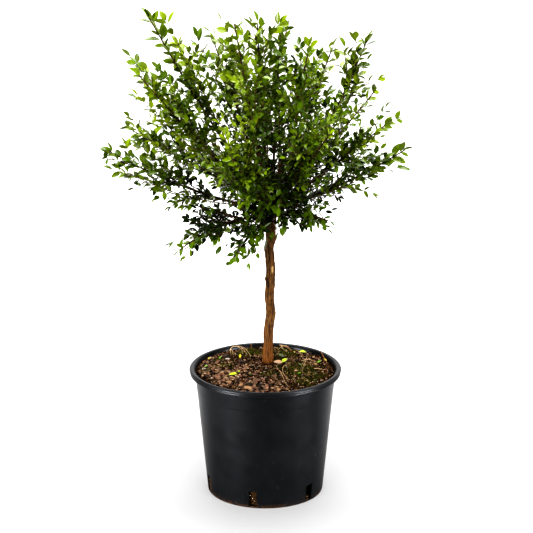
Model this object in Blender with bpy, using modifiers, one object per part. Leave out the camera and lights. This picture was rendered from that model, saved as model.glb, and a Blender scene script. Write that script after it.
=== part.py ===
"""A small-leaved privet trained as a standard, standing in its nursery pot.

Metres, +Z up.  The origin is the centre of the pot's flat underside.  The plant is one
upright trunk with a knuckle of boughs at its head.  Each bough carries one mass of
foliage: a stem that goes on along the bough's line, side twigs and pairs of leaves.
"""

import math
import random

import bmesh
import bpy
from mathutils import Matrix, Vector

# Touching solids keep this much apart.
GAP = 0.0003
UP = Vector((0.0, 0.0, 1.0))

# Pot: a turned plastic shell with a stepped rim and slots round its foot.
POT_HEIGHT = 0.237
POT_STEPS = 36
RIM_RADIUS = 0.140
RIM_ROUNDING = 0.004
RIM_INNER_RADIUS = 0.1315
LIP_HEIGHT = 0.0115
LIP_STEP_HEIGHT = 0.0070
LIP_STEP_DEPTH = 0.0012
WALL_TOP_RADIUS = 0.1303
WALL_FOOT_RADIUS = 0.1068
WALL_THICKNESS = 0.0022
FLOOR_THICKNESS = 0.003
SLOT_COUNT = 6
SLOT_WIDTH = 0.015
SLOT_BOTTOM = 0.0034
SLOT_TOP = 0.0340
SLOT_CUT_DEPTH = 0.020
SLOT_FIRST_AZIMUTH = -102.4

# Soil: fills the pot, and rises to a level seat round the trunk's foot.
SOIL_EDGE_DROP = 0.007
SOIL_SEAT_HEIGHT = 0.2407
SOIL_SEAT_RADIUS = 0.036
SOIL_SHOULDER_RADIUS = 0.090
SOIL_SHOULDER_HEIGHT = 0.2355

# Trunk: flat cut on the soil, slight lean and wander, a knuckle at the head.
TRUNK_FOOT = Vector((0.0042, 0.015, SOIL_SEAT_HEIGHT + GAP))
TRUNK_HEAD = Vector((0.0102, 0.015, 0.556))
TRUNK_WANDER = 0.0009
TRUNK_WAVES = 3.5
TRUNK_RINGS = 20
TRUNK_RADIUS = 0.0073
FLARE_RADIUS = 0.0034
FLARE_HEIGHT = 0.016
KNUCKLE_RADIUS = 0.0036
KNUCKLE_HEIGHT = 0.050
DOME_FLATNESS = 0.45
KNOTS = ((0.395, 0.0009), (0.458, 0.0010), (0.474, 0.0008))
KNOT_HALF_HEIGHT = 0.006

# Shoots leave the knuckle, steep ones from its top and drooping ones from its foot.
FORK_LOWEST = 0.516
FORK_HIGHEST = 0.552
STEEPEST = 86.0
LOWEST_RISE = -36.0
STEEP_OFFSET = 0.0062
# One row a shoot: azimuth and rise of its tip in degrees, reach, and upward bow at half length.
SHOOTS = (
    (178, 57, 0.412, -0.014),
    (-154, 45, 0.376, -0.010),
    (163, 22, 0.300, 0.004),
    (-174, 19, 0.324, -0.016),
    (-142, -17, 0.232, 0.020),
    (-122, -33, 0.165, 0.012),
    (-40, -8, 0.150, 0.010),
    (-3, 22, 0.275, -0.012),
    (-30, 36, 0.300, -0.004),
    (27, 40, 0.297, -0.006),
    (3, 60, 0.358, -0.034),
    (45, 58, 0.316, 0.000),
    (78, 74, 0.312, 0.004),
    (150, 85, 0.337, 0.002),
    (-128, 73, 0.369, -0.006),
    (133, 60, 0.318, 0.004),
    (-66, 36, 0.318, -0.004),
    (-106, 30, 0.314, -0.006),
    (-52, 70, 0.318, 0.000),
    (68, 20, 0.290, -0.008),
    (104, 38, 0.300, -0.006),
    (128, 8, 0.250, -0.004),
    (46, -6, 0.205, 0.010),
    (96, -14, 0.190, 0.014),
)
BOUGH_SHARE = 0.24
BOUGH_FOOT_RADIUS = 0.0026
SHOOT_TIP_RADIUS = 0.0009
BOUGH_RINGS = 4
LINE_PIECES = 24

# Foliage: side twigs at the golden angle, leaves in crossed pairs.
STEM_PIECES = 4
STEM_THICKENING = 1.15
BARE_STEM = 0.45
LAST_PAIR = 0.97
TWIGS_A_MASS = 6
TWIG_ZONE = 0.72
TWIG_LENGTH = 0.088
TWIG_SHORTENING = 0.40
TWIG_BARE = 0.32
TWIG_RADIUS = 0.0014
TWIG_ANGLE = math.radians(52)
TWIG_LIFT = 0.18
GOLDEN_ANGLE = math.radians(137.508)
STEM_PAIR_SPACING = 0.025
TWIG_PAIR_SPACING = 0.027
LEAF_LENGTH = 0.033
LEAF_WIDTH = 0.0190
LEAF_THICKNESS = 0.0011
LEAF_ANGLE = math.radians(50)
LEAF_SINK = 0.0002
LEAF_CUP = 0.0006
LEAF_ROLL = 1.2
LEAF_APART = 0.0125
LEAF_TRIES = ((1.0, 1.0), (0.6, 1.0), (1.0, 0.75), (0.6, 0.75))
TWIG_TRIES = (1.0, 0.8, 0.6, 0.45)
DROOP_LIMIT = 0.012
LIMB_CLEARANCE = 0.0020
SPACE_MARGIN = 0.0008
SAMPLE_STEP = 0.004


def clear_scene():
    for old in list(bpy.data.objects):
        bpy.data.objects.remove(old, do_unlink=True)


def new_collection(name):
    made = bpy.data.collections.new(name)
    bpy.context.scene.collection.children.link(made)
    return made


def new_material(name, colour, roughness):
    made = bpy.data.materials.new(name)
    made.use_nodes = True
    shader = made.node_tree.nodes["Principled BSDF"]
    shader.inputs["Base Color"].default_value = (*colour, 1.0)
    shader.inputs["Roughness"].default_value = roughness
    shader.inputs["Metallic"].default_value = 0.0
    made.diffuse_color = (*colour, 1.0)
    return made


def new_object(name, mesh, collection, material=None):
    made = bpy.data.objects.new(name, mesh)
    collection.objects.link(made)
    if material:
        mesh.materials.clear()
        mesh.materials.append(material)
    return made


def as_cutter(piece):
    piece.hide_render = True
    piece.display_type = "WIRE"
    return piece


def outward(form):
    """Turns a closed form's faces outwards where its making has turned them in."""
    if form.calc_volume(signed=True) < 0.0:
        bmesh.ops.reverse_faces(form, faces=form.faces)
    return form


def turned(name, profile, collection, material):
    """A solid of revolution from (radius, height) points, outer side top to bottom."""
    form = bmesh.new()
    points = [form.verts.new((radius, 0.0, height)) for radius, height in profile]
    for first, second in zip(points, points[1:]):
        form.edges.new((first, second))
    mesh = bpy.data.meshes.new(name)
    form.to_mesh(mesh)
    form.free()
    piece = new_object(name, mesh, collection, material)
    screw = piece.modifiers.new("turn", "SCREW")
    screw.axis = "Z"
    screw.steps = POT_STEPS
    screw.render_steps = POT_STEPS
    screw.use_merge_vertices = True
    screw.merge_threshold = 0.00001
    return piece


def wall_radius(height):
    """Outer radius of the pot's wall, which tapers evenly to its foot."""
    return WALL_FOOT_RADIUS + (WALL_TOP_RADIUS - WALL_FOOT_RADIUS) * height / POT_HEIGHT


# ---- pot ----

def make_pot(collection, cutters, material):
    """The shell in one turned piece, with its drainage slots cut through the foot of the wall."""
    inner_top = RIM_INNER_RADIUS - WALL_THICKNESS
    lip_bottom = POT_HEIGHT - LIP_HEIGHT
    lip_step = POT_HEIGHT - LIP_STEP_HEIGHT
    profile = (
        (0.0, FLOOR_THICKNESS),
        (wall_radius(FLOOR_THICKNESS) - WALL_THICKNESS, FLOOR_THICKNESS),
        (wall_radius(lip_bottom) - WALL_THICKNESS, lip_bottom),
        (inner_top, POT_HEIGHT - RIM_ROUNDING),
        (RIM_INNER_RADIUS, POT_HEIGHT),
        (RIM_RADIUS - RIM_ROUNDING / 2, POT_HEIGHT),
        (RIM_RADIUS, POT_HEIGHT - RIM_ROUNDING),
        (RIM_RADIUS, lip_step),
        (RIM_RADIUS - LIP_STEP_DEPTH, lip_step),
        (RIM_RADIUS - LIP_STEP_DEPTH, lip_bottom),
        (wall_radius(lip_bottom), lip_bottom),
        (WALL_FOOT_RADIUS, 0.0),
        (0.0, 0.0),
    )
    pot = turned("pot", profile, collection, material)
    slot_size = (SLOT_CUT_DEPTH, SLOT_WIDTH, SLOT_TOP - SLOT_BOTTOM)
    for number in range(SLOT_COUNT):
        azimuth = math.radians(SLOT_FIRST_AZIMUTH + number * 360.0 / SLOT_COUNT)
        box = bmesh.new()
        bmesh.ops.create_cube(box, size=1.0)
        bmesh.ops.scale(box, vec=slot_size, verts=box.verts)
        middle = Vector((WALL_FOOT_RADIUS, 0.0, (SLOT_TOP + SLOT_BOTTOM) / 2))
        bmesh.ops.translate(box, vec=middle, verts=box.verts)
        bmesh.ops.rotate(box, cent=(0, 0, 0), matrix=Matrix.Rotation(azimuth, 3, "Z"), verts=box.verts)
        mesh = bpy.data.meshes.new(f"slot_{number}")
        box.to_mesh(mesh)
        box.free()
        cutter = as_cutter(new_object(f"cut_slot_{number}", mesh, cutters))
        cut = pot.modifiers.new(cutter.name, "BOOLEAN")
        cut.operation = "DIFFERENCE"
        cut.object = cutter


# ---- soil ----

def make_soil(collection, material):
    """One plain filling, a hair clear of the pot, mounded up to a level seat."""
    edge_height = POT_HEIGHT - SOIL_EDGE_DROP
    foot_height = FLOOR_THICKNESS + GAP
    profile = (
        (0.0, SOIL_SEAT_HEIGHT),
        (SOIL_SEAT_RADIUS, SOIL_SEAT_HEIGHT),
        (SOIL_SHOULDER_RADIUS, SOIL_SHOULDER_HEIGHT),
        (wall_radius(edge_height) - WALL_THICKNESS - 2 * GAP, edge_height),
        (wall_radius(foot_height) - WALL_THICKNESS - 2 * GAP, foot_height),
        (0.0, foot_height),
    )
    return turned("soil", profile, collection, material)


# ---- trunk ----

def trunk_point(height):
    """Centre of the trunk at a height: it leans most at its foot and wanders to each side."""
    share = (height - TRUNK_FOOT.z) / (TRUNK_HEAD.z - TRUNK_FOOT.z)
    point = TRUNK_FOOT.lerp(TRUNK_HEAD, math.sqrt(max(0.0, share)))
    fade = math.sin(math.pi * max(0.0, min(1.0, share)))
    point.x += TRUNK_WANDER * fade * math.sin(2 * math.pi * TRUNK_WAVES * share - 5.2)
    point.y += TRUNK_WANDER * fade * math.sin(2 * math.pi * TRUNK_WAVES * 0.7 * share)
    point.z = height
    return point


def trunk_radius(height):
    """Trunk radius at a height: root flare, even stem, knots, and the swollen knuckle."""
    rise = height - TRUNK_FOOT.z
    drop = TRUNK_HEAD.z - height
    radius = TRUNK_RADIUS + FLARE_RADIUS * math.exp(-((rise / FLARE_HEIGHT) ** 2))
    radius += KNUCKLE_RADIUS * math.exp(-((drop / KNUCKLE_HEIGHT) ** 2))
    for height_of_knot, swell in KNOTS:
        radius += swell * math.exp(-(((height - height_of_knot) / KNOT_HALF_HEIGHT) ** 2))
    return radius


def tube_mesh(name, points, radii, resolution):
    """A closed round tube through points, as a mesh with its caps welded on."""
    curve = bpy.data.curves.new(name, "CURVE")
    curve.dimensions = "3D"
    curve.twist_mode = "MINIMUM"
    curve.bevel_depth = 1.0
    curve.bevel_resolution = resolution
    curve.use_fill_caps = True
    line = curve.splines.new("POLY")
    line.points.add(len(points) - 1)
    for slot, point, radius in zip(line.points, points, radii):
        slot.co = (*point, 1.0)
        slot.radius = radius
    holder = bpy.data.objects.new(name, curve)
    bpy.context.scene.collection.objects.link(holder)
    bpy.context.view_layer.update()
    graph = bpy.context.evaluated_depsgraph_get()
    mesh = bpy.data.meshes.new_from_object(holder.evaluated_get(graph))
    bpy.data.objects.remove(holder, do_unlink=True)
    form = bmesh.new()
    form.from_mesh(mesh)
    bmesh.ops.remove_doubles(form, verts=form.verts, dist=0.00001)
    outward(form)
    form.to_mesh(mesh)
    form.free()
    mesh.name = name
    return mesh


def trunk_mesh(name, swell):
    """The trunk, or with a swell the slightly larger form that boughs are cut back by."""
    height_span = TRUNK_HEAD.z - TRUNK_FOOT.z
    heights = [TRUNK_FOOT.z + height_span * ring / (TRUNK_RINGS - 1) for ring in range(TRUNK_RINGS)]
    heights = [TRUNK_FOOT.z - FLARE_HEIGHT / 3, heights[0], TRUNK_FOOT.z + FLARE_HEIGHT / 3] + heights[1:]
    points = [trunk_point(height) for height in heights]
    radii = [trunk_radius(height) + swell for height in heights]
    head, dome = points[-1], radii[-1]
    for share in (0.45, 0.85):
        points.append(head + UP * (dome * DOME_FLATNESS * share + swell))
        radii.append(dome * math.sqrt(1.0 - share * share))
    mesh = tube_mesh(name, points, radii, resolution=4)
    form = bmesh.new()
    form.from_mesh(mesh)
    parts = form.verts[:] + form.edges[:] + form.faces[:]
    bmesh.ops.bisect_plane(form, geom=parts, plane_co=TRUNK_FOOT, plane_no=UP, clear_inner=True)
    rim = [edge for edge in form.edges if edge.is_boundary]
    bmesh.ops.holes_fill(form, edges=rim, sides=0)
    outward(form)
    form.to_mesh(mesh)
    form.free()
    return mesh


def make_trunk(collection, cutters, material):
    """The trunk itself, and the room round it that every bough is cut back to."""
    new_object("trunk", trunk_mesh("trunk", 0.0), collection, material)
    return as_cutter(new_object("cut_trunk", trunk_mesh("cut_trunk", GAP), cutters))


# ---- boughs ----

class Shoot:
    """One line from the knuckle to a tip: a bough first, then the stem of a mass."""

    def __init__(self, azimuth, rise, reach, bow):
        turn = math.radians(azimuth)
        lift = math.radians(rise)
        share = (rise - LOWEST_RISE) / (STEEPEST - LOWEST_RISE)
        height = FORK_LOWEST + (FORK_HIGHEST - FORK_LOWEST) * share
        away = Vector((math.cos(turn), math.sin(turn), 0.0))
        self.start = trunk_point(height) + away * STEEP_OFFSET * max(0.0, math.sin(lift)) ** 2
        head = trunk_point(TRUNK_HEAD.z)
        self.tip = head + (away * math.cos(lift) + UP * math.sin(lift)) * reach
        self.bow = bow
        self.reach = (self.tip - self.start).length
        self.line = [self.at(piece / LINE_PIECES) for piece in range(LINE_PIECES + 1)]

    def at(self, share):
        return self.start.lerp(self.tip, share) + UP * (4 * self.bow * share * (1 - share))

    def radius(self, share):
        return BOUGH_FOOT_RADIUS + (SHOOT_TIP_RADIUS - BOUGH_FOOT_RADIUS) * share ** 0.8


def make_bough(number, shoot, room, collection, material):
    """A tapering limb from inside the knuckle, cut back to lie just clear of it."""
    shares = [BOUGH_SHARE * ring / (BOUGH_RINGS - 1) for ring in range(BOUGH_RINGS)]
    points = [shoot.at(share) for share in shares]
    radii = [shoot.radius(share) for share in shares]
    name = f"bough_{number:02d}"
    bough = new_object(name, tube_mesh(name, points, radii, resolution=1), collection, material)
    cut = bough.modifiers.new("seat", "BOOLEAN")
    cut.operation = "DIFFERENCE"
    cut.object = room


# ---- foliage ----

def distance_to_line(point, line):
    """Shortest distance from a point to a line of points."""
    best = 1.0
    for first, second in zip(line, line[1:]):
        span = second - first
        share = max(0.0, min(1.0, (point - first).dot(span) / span.length_squared))
        best = min(best, (point - first - span * share).length)
    return best


class Space:
    """The room of one mass: nearer its own shoot than any other, and clear of all limbs."""

    def __init__(self, own, shoots):
        self.own = own
        self.floor = min(point.z for point in own.line) - DROOP_LIMIT
        self.others = [shoot for shoot in shoots if shoot is not own]
        span = (TRUNK_HEAD.z - TRUNK_FOOT.z) / LINE_PIECES
        trunk_line = [trunk_point(TRUNK_FOOT.z + span * piece) for piece in range(LINE_PIECES + 1)]
        self.limbs = [(trunk_line, trunk_radius(TRUNK_HEAD.z))]
        last = round(LINE_PIECES * BOUGH_SHARE) + 1
        self.limbs += [(shoot.line[:last], BOUGH_FOOT_RADIUS) for shoot in shoots]

    def holds(self, point):
        if point.z < self.floor:
            return False
        own = distance_to_line(point, self.own.line)
        if any(distance_to_line(point, other.line) < own + SPACE_MARGIN for other in self.others):
            return False
        return all(
            distance_to_line(point, line) > radius + LIMB_CLEARANCE for line, radius in self.limbs
        )

    def holds_line(self, start, end):
        steps = max(2, math.ceil((end - start).length / SAMPLE_STEP))
        return all(self.holds(start.lerp(end, step / steps)) for step in range(1, steps + 1))


def side_direction(along, turn):
    """A unit vector square to a line, turned about it from its uppermost side."""
    across = along.cross(UP)
    if across.length < 0.05:
        across = along.cross(Vector((1.0, 0.0, 0.0)))
    across.normalize()
    over = across.cross(along)
    return over * math.cos(turn) + across * math.sin(turn)


def line_path(start, end):
    """A straight path from 0 at its start to 1 at its end."""
    return lambda share: start.lerp(end, share)


def direction(path, share):
    """The way a path runs at a share of its length."""
    return (path(share + 0.02) - path(share - 0.02)).normalized()


def twig_form(path, radius, pieces):
    """A closed three-sided twig of a few straight pieces, along a path from 0 to 1."""
    form = bmesh.new()
    bmesh.ops.create_cone(form, cap_ends=True, segments=3, radius1=1.0, radius2=1.0, depth=1.0)
    bmesh.ops.translate(form, vec=(0.0, 0.0, 0.5), verts=form.verts)
    for piece in range(1, pieces):
        parts = form.verts[:] + form.edges[:] + form.faces[:]
        bmesh.ops.bisect_plane(form, geom=parts, plane_co=(0, 0, piece / pieces), plane_no=(0, 0, 1))
    for corner in form.verts:
        share = corner.co.z
        along = direction(path, share)
        over = side_direction(along, 0.0)
        across = over.cross(along)
        corner.co = path(share) + (over * corner.co.x + across * corner.co.y) * radius(share)
    return outward(form)


def leaf_form(base, along, face, length):
    """A six-sided leaf: pointed, widest below the middle, with a keel along its back."""
    form = bmesh.new()
    bmesh.ops.create_uvsphere(form, u_segments=3, v_segments=2, radius=1.0)
    width = LEAF_WIDTH * length / LEAF_LENGTH
    across = face.cross(along).normalized()
    over = along.cross(across)
    for corner in form.verts:
        side, edge, end = corner.co
        if abs(end) > 0.5:
            corner.co = base + along * (length if end > 0 else -LEAF_SINK)
        elif side > 0.5:
            corner.co = base + along * length * 0.30 - over * LEAF_THICKNESS
        else:
            corner.co = base + along * length * 0.43 + across * math.copysign(width / 2, edge)
            corner.co += over * LEAF_CUP
    return outward(form)


def fits(base, along, across, length, space, taken):
    """Whether a leaf keeps to its space and lies clear of the leaves already there."""
    middle = base + along * length * 0.5
    if any((middle - other).length < LEAF_APART for other in taken):
        return False
    marks = [base + along * length * share for share in (1.0, 0.8, 0.6, 0.42, 0.25)]
    marks += [base + along * length * 0.42 + across * share for share in (-1.0, -0.6, 0.6, 1.0)]
    marks += [base + along * length * 0.7 + across * share for share in (-0.6, 0.6)]
    return all(space.holds(mark) for mark in marks)


def add_leaf(base, twig, out, length, space, taken, draw, forms):
    """A leaf spread from its twig, or one held closer or smaller, or none where it won't fit."""
    angle = LEAF_ANGLE * draw.uniform(0.85, 1.15)
    roll = draw.uniform(-LEAF_ROLL, LEAF_ROLL)
    for spread, size in LEAF_TRIES:
        along = (twig * math.cos(angle * spread) + out * math.sin(angle * spread)).normalized()
        face = side_direction(along, roll)
        across = face.cross(along).normalized() * LEAF_WIDTH / 2 * length * size / LEAF_LENGTH
        if fits(base, along, across, length * size, space, taken):
            taken.append(base + along * length * size * 0.5)
            forms.append(leaf_form(base, along, face, length * size))
            return


def leafy(path, first, spacing, space, taken, draw):
    """Crossed pairs of leaves along a twig's path from 0 to 1, and one leaf on its tip."""
    count = max(1, round((path(1.0) - path(first)).length / spacing))
    turn = draw.uniform(0.0, math.pi)
    forms = []
    add_leaf(path(1.0), direction(path, 1.0), Vector(), LEAF_LENGTH, space, taken, draw, forms)
    for number in range(count):
        share = first + (LAST_PAIR - first) * number / count
        along = direction(path, share)
        for side in (0.0, math.pi):
            out = side_direction(along, turn + side + draw.uniform(-0.25, 0.25))
            length = LEAF_LENGTH * draw.uniform(0.85, 1.05)
            add_leaf(path(share), along, out, length, space, taken, draw, forms)
        turn += math.pi / 2
    return forms


def grow_mass(number, shoot, shoots):
    """The stem, twigs and leaves of one mass as separate closed forms, the stem first."""
    draw = random.Random(100 + number)
    space = Space(shoot, shoots)
    taken = []
    foot = BOUGH_SHARE + GAP / shoot.reach
    top = 1.0 - LEAF_LENGTH / shoot.reach
    joints = [shoot.at(foot + (top - foot) * piece / STEM_PIECES) for piece in range(STEM_PIECES + 1)]

    def stem(share):
        piece = min(STEM_PIECES - 1, max(0, math.floor(share * STEM_PIECES)))
        return joints[piece].lerp(joints[piece + 1], share * STEM_PIECES - piece)

    def stem_radius(share):
        return STEM_THICKENING * shoot.radius(foot + (top - foot) * share)

    twigs = [twig_form(stem, stem_radius, STEM_PIECES)]
    leaves = leafy(stem, BARE_STEM, STEM_PAIR_SPACING, space, taken, draw)
    turn = draw.uniform(0.0, 2 * math.pi)
    for step in range(TWIGS_A_MASS):
        start = stem(TWIG_ZONE * (step + 0.2) / TWIGS_A_MASS)
        along = direction(stem, TWIG_ZONE * (step + 0.2) / TWIGS_A_MASS)
        out = side_direction(along, turn)
        lay = (along * math.cos(TWIG_ANGLE) + out * math.sin(TWIG_ANGLE) + UP * TWIG_LIFT).normalized()
        full = TWIG_LENGTH * draw.uniform(0.85, 1.15) * (1.0 - TWIG_SHORTENING * step / TWIGS_A_MASS)
        for length in (full * size for size in TWIG_TRIES):
            if space.holds_line(start + lay * length * 0.3, start + lay * length):
                path = line_path(start, start + lay * length)
                twigs.append(twig_form(path, lambda share: TWIG_RADIUS * (1.0 - 0.3 * share), 1))
                leaves += leafy(path, TWIG_BARE, TWIG_PAIR_SPACING, space, taken, draw)
                break
        turn += GOLDEN_ANGLE
    return twigs + leaves


def largest_island(mesh):
    """Keeps the largest closed body of a mesh and drops loose scraps and sealed hollows."""
    form = bmesh.new()
    form.from_mesh(mesh)
    left = set(form.faces)
    islands = []
    while left:
        island = {left.pop()}
        edge = list(island)
        while edge:
            face = edge.pop()
            for line in face.edges:
                for near in line.link_faces:
                    if near in left:
                        left.remove(near)
                        island.add(near)
                        edge.append(near)
        islands.append(island)
    keep = max(islands, key=len)
    drop = [face for face in form.faces if face not in keep]
    bmesh.ops.delete(form, geom=drop, context="FACES")
    loose = [corner for corner in form.verts if not corner.link_faces]
    bmesh.ops.delete(form, geom=loose, context="VERTS")
    form.to_mesh(mesh)
    form.free()


def make_mass(number, shoot, shoots, collection, material):
    """One node of foliage, joined from its stem, twigs and leaves."""
    forms = grow_mass(number, shoot, shoots)
    name = f"foliage_{number:02d}"
    joined = bpy.data.collections.new(name + "_pieces")
    bpy.context.scene.collection.children.link(joined)
    pieces = []
    for order, form in enumerate(forms):
        mesh = bpy.data.meshes.new(f"{name}_{order}")
        form.to_mesh(mesh)
        form.free()
        pieces.append(new_object(mesh.name, mesh, collection if order == 0 else joined))
    mass = pieces[0]
    join = mass.modifiers.new("join", "BOOLEAN")
    join.operation = "UNION"
    join.operand_type = "COLLECTION"
    join.collection = joined
    join.solver = "MANIFOLD"
    bpy.context.view_layer.update()
    graph = bpy.context.evaluated_depsgraph_get()
    mesh = bpy.data.meshes.new_from_object(mass.evaluated_get(graph))
    for piece in pieces:
        bpy.data.objects.remove(piece, do_unlink=True)
    bpy.data.collections.remove(joined)
    largest_island(mesh)
    mesh.name = name
    return new_object(name, mesh, collection, material)


clear_scene()
plant = new_collection("standard_privet")
cutters = new_collection("cutters")
plastic = new_material("pot_plastic", (0.012, 0.013, 0.015), 0.42)
compost = new_material("compost", (0.075, 0.045, 0.028), 0.95)
bark = new_material("bark", (0.17, 0.085, 0.040), 0.80)
leaf = new_material("leaf", (0.085, 0.20, 0.018), 0.40)

make_pot(plant, cutters, plastic)
make_soil(plant, compost)
trunk_room = make_trunk(plant, cutters, bark)
shoots = [Shoot(*row) for row in SHOOTS]
for number, shoot in enumerate(shoots, start=1):
    make_bough(number, shoot, trunk_room, plant, bark)
    make_mass(number, shoot, shoots, plant, leaf)
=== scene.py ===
"""Looks of a small-leaved shrub trained as a standard, in its black grower's pot.

Metres, +Z up.  The sections follow the order in which the real thing is put together:
pot, compost, trunk, boughs, twigs, leaves, and the litter that lies on the compost.
"""

import math
import random

import bmesh
import bpy
import numpy as np
from mathutils import Matrix, Vector, kdtree, noise


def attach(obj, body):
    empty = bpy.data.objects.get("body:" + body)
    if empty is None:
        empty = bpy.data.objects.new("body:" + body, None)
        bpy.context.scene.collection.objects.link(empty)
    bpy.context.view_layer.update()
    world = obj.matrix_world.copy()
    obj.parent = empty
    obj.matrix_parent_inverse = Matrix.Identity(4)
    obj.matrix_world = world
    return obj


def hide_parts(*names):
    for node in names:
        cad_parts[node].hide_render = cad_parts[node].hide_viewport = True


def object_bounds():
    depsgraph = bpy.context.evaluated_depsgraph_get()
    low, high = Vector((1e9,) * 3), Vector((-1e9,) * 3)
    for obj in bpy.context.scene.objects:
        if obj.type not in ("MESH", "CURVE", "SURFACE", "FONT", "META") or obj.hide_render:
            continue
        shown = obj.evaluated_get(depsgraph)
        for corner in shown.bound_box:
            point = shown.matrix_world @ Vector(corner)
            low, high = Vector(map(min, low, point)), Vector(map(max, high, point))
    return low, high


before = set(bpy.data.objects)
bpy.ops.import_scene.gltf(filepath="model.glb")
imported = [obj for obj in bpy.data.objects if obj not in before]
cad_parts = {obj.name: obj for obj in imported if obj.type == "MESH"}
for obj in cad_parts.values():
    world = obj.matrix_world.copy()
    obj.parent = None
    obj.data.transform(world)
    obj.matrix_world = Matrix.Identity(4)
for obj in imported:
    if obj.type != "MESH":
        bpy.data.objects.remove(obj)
cad_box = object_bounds()


# ---- Pot ----
# A round grower's pot for ten litres, injection moulded in black plastic in one piece.
# The rim is a rounded bead over a groove and a second ring, and six drainage slots with
# softened edges are cut through the foot of the wall.

POT_HEIGHT = 0.237
POT_STEPS = 180
RIM_RADIUS = 0.140
RIM_INNER_RADIUS = 0.1315
WALL_TOP_RADIUS = 0.1303
WALL_FOOT_RADIUS = 0.1068
WALL_THICKNESS = 0.0022
FLOOR_THICKNESS = 0.003
LIP_HEIGHT = 0.0098
LIP_STEP_HEIGHT = 0.0040
LIP_STEP_DEPTH = 0.0012
MOULD_LINE_HEIGHT = 0.196
MOULD_LINE_DEPTH = 0.00025
FOOT_RING_HEIGHT = 0.0018
FOOT_RING_INSET = 0.0004
SLOT_COUNT = 6
SLOT_WIDTH = 0.015
SLOT_BOTTOM = 0.0034
SLOT_TOP = 0.0340
SLOT_MIDDLE = (SLOT_TOP + SLOT_BOTTOM) / 2
SLOT_CHAMFER = 0.0009
SLOT_EDGE_RADIUS = 0.0007
SLOT_FIRST_AZIMUTH = -102.4
CUTTER_DEPTH = 0.020
MERGE_DISTANCE = 0.000002
UP = Vector((0.0, 0.0, 1.0))


def wall_radius(height):
    """Outer radius of the pot's wall, which tapers evenly to its foot."""
    return WALL_FOOT_RADIUS + (WALL_TOP_RADIUS - WALL_FOOT_RADIUS) * height / POT_HEIGHT


def slot_azimuth(number):
    """Where round the pot the middle of a drainage slot is, in radians."""
    return math.radians(SLOT_FIRST_AZIMUTH + number * 360.0 / SLOT_COUNT)


def rounded(corners, steps=4):
    """A profile of (radius, height) points whose corners are softened by their third number."""
    points = []
    for number, (radius, height, soft) in enumerate(corners):
        here = Vector((radius, height))
        if soft == 0.0:
            points.append(here)
            continue
        before = Vector(corners[number - 1][:2]) - here
        after = Vector(corners[number + 1][:2]) - here
        first = here + before.normalized() * min(soft, before.length * 0.49)
        last = here + after.normalized() * min(soft, after.length * 0.49)
        for step in range(steps + 1):
            share = step / steps
            points.append(first * (1 - share) ** 2 + here * 2 * share * (1 - share) + last * share**2)
    return points


def spun(points, steps):
    """A closed turned form from a profile that starts and ends on the axis."""
    form = bmesh.new()
    corners = [form.verts.new((point.x, 0.0, point.y)) for point in points]
    edges = [form.edges.new(pair) for pair in zip(corners, corners[1:])]
    bmesh.ops.spin(form, geom=corners + edges, cent=(0, 0, 0), axis=(0, 0, 1),
                   angle=2 * math.pi, steps=steps, use_merge=True)
    bmesh.ops.remove_doubles(form, verts=form.verts, dist=MERGE_DISTANCE)
    return outward(form)


def outward(form):
    """Turns a closed form's faces outwards where its making has turned them in."""
    if form.calc_volume(signed=True) < 0.0:
        bmesh.ops.reverse_faces(form, faces=form.faces)
    return form


def mesh_of(name, form):
    """The mesh of a form, which is then done with."""
    mesh = bpy.data.meshes.new(name)
    form.to_mesh(mesh)
    form.free()
    return mesh


def add_object(name, data):
    """Puts a mesh, a curve, a lamp or a camera into the scene."""
    thing = bpy.data.objects.new(name, data)
    bpy.context.scene.collection.objects.link(thing)
    return thing


def final_mesh(thing):
    """The mesh that a thing ends as, once its modifiers or its thickness are worked out."""
    bpy.context.view_layer.update()
    graph = bpy.context.evaluated_depsgraph_get()
    return bpy.data.meshes.new_from_object(thing.evaluated_get(graph))


def add_piece(name, mesh, material):
    """Puts a finished mesh into the scene as a piece of the plant or its pot."""
    mesh.name = name
    mesh.materials.clear()
    mesh.materials.append(material)
    piece = add_object(name, mesh)
    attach(piece, "root")
    return piece


def shaded_mesh(form, crease):
    """The mesh of a form, smooth but for edges sharper than the crease, in degrees."""
    for face in form.faces:
        face.smooth = True
    for edge in form.edges:
        if len(edge.link_faces) == 2 and edge.calc_face_angle() > math.radians(crease):
            edge.smooth = False
    return mesh_of("form", form)


def fill_sockets(tree, node, values):
    """Sets a node's inputs to values, or links them to the outputs of other nodes."""
    for socket, value in values.items():
        if isinstance(value, bpy.types.NodeSocket):
            tree.links.new(value, node.inputs[socket])
        else:
            node.inputs[socket].default_value = value


def add_node(tree, kind, values=(), **settings):
    """A shader node with its settings and its inputs."""
    node = tree.nodes.new("ShaderNode" + kind)
    for setting, value in settings.items():
        setattr(node, setting, value)
    fill_sockets(tree, node, dict(values))
    return node


def new_group(name, inputs, outputs):
    """An empty node group with named inputs (kind, value) and outputs (kind)."""
    group = bpy.data.node_groups.new(name, "ShaderNodeTree")
    for label, (kind, value) in inputs.items():
        socket = group.interface.new_socket(label, in_out="INPUT", socket_type="NodeSocket" + kind)
        if value is not None:
            socket.default_value = value
    for label, kind in outputs.items():
        group.interface.new_socket(label, in_out="OUTPUT", socket_type="NodeSocket" + kind)
    start = group.nodes.new("NodeGroupInput")
    end = group.nodes.new("NodeGroupOutput")
    return group, start.outputs, end.inputs


def place_group(tree, group, values):
    """One use of a node group in a material, with its own values."""
    node = tree.nodes.new("ShaderNodeGroup")
    node.node_tree = group
    fill_sockets(tree, node, values)
    return node.outputs


def maths(tree, operation, first, second=0.5):
    """The outcome of an operation on two values, or on the first where it takes one."""
    return add_node(tree, "Math", {0: first, 1: second}, operation=operation).outputs[0]


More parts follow.
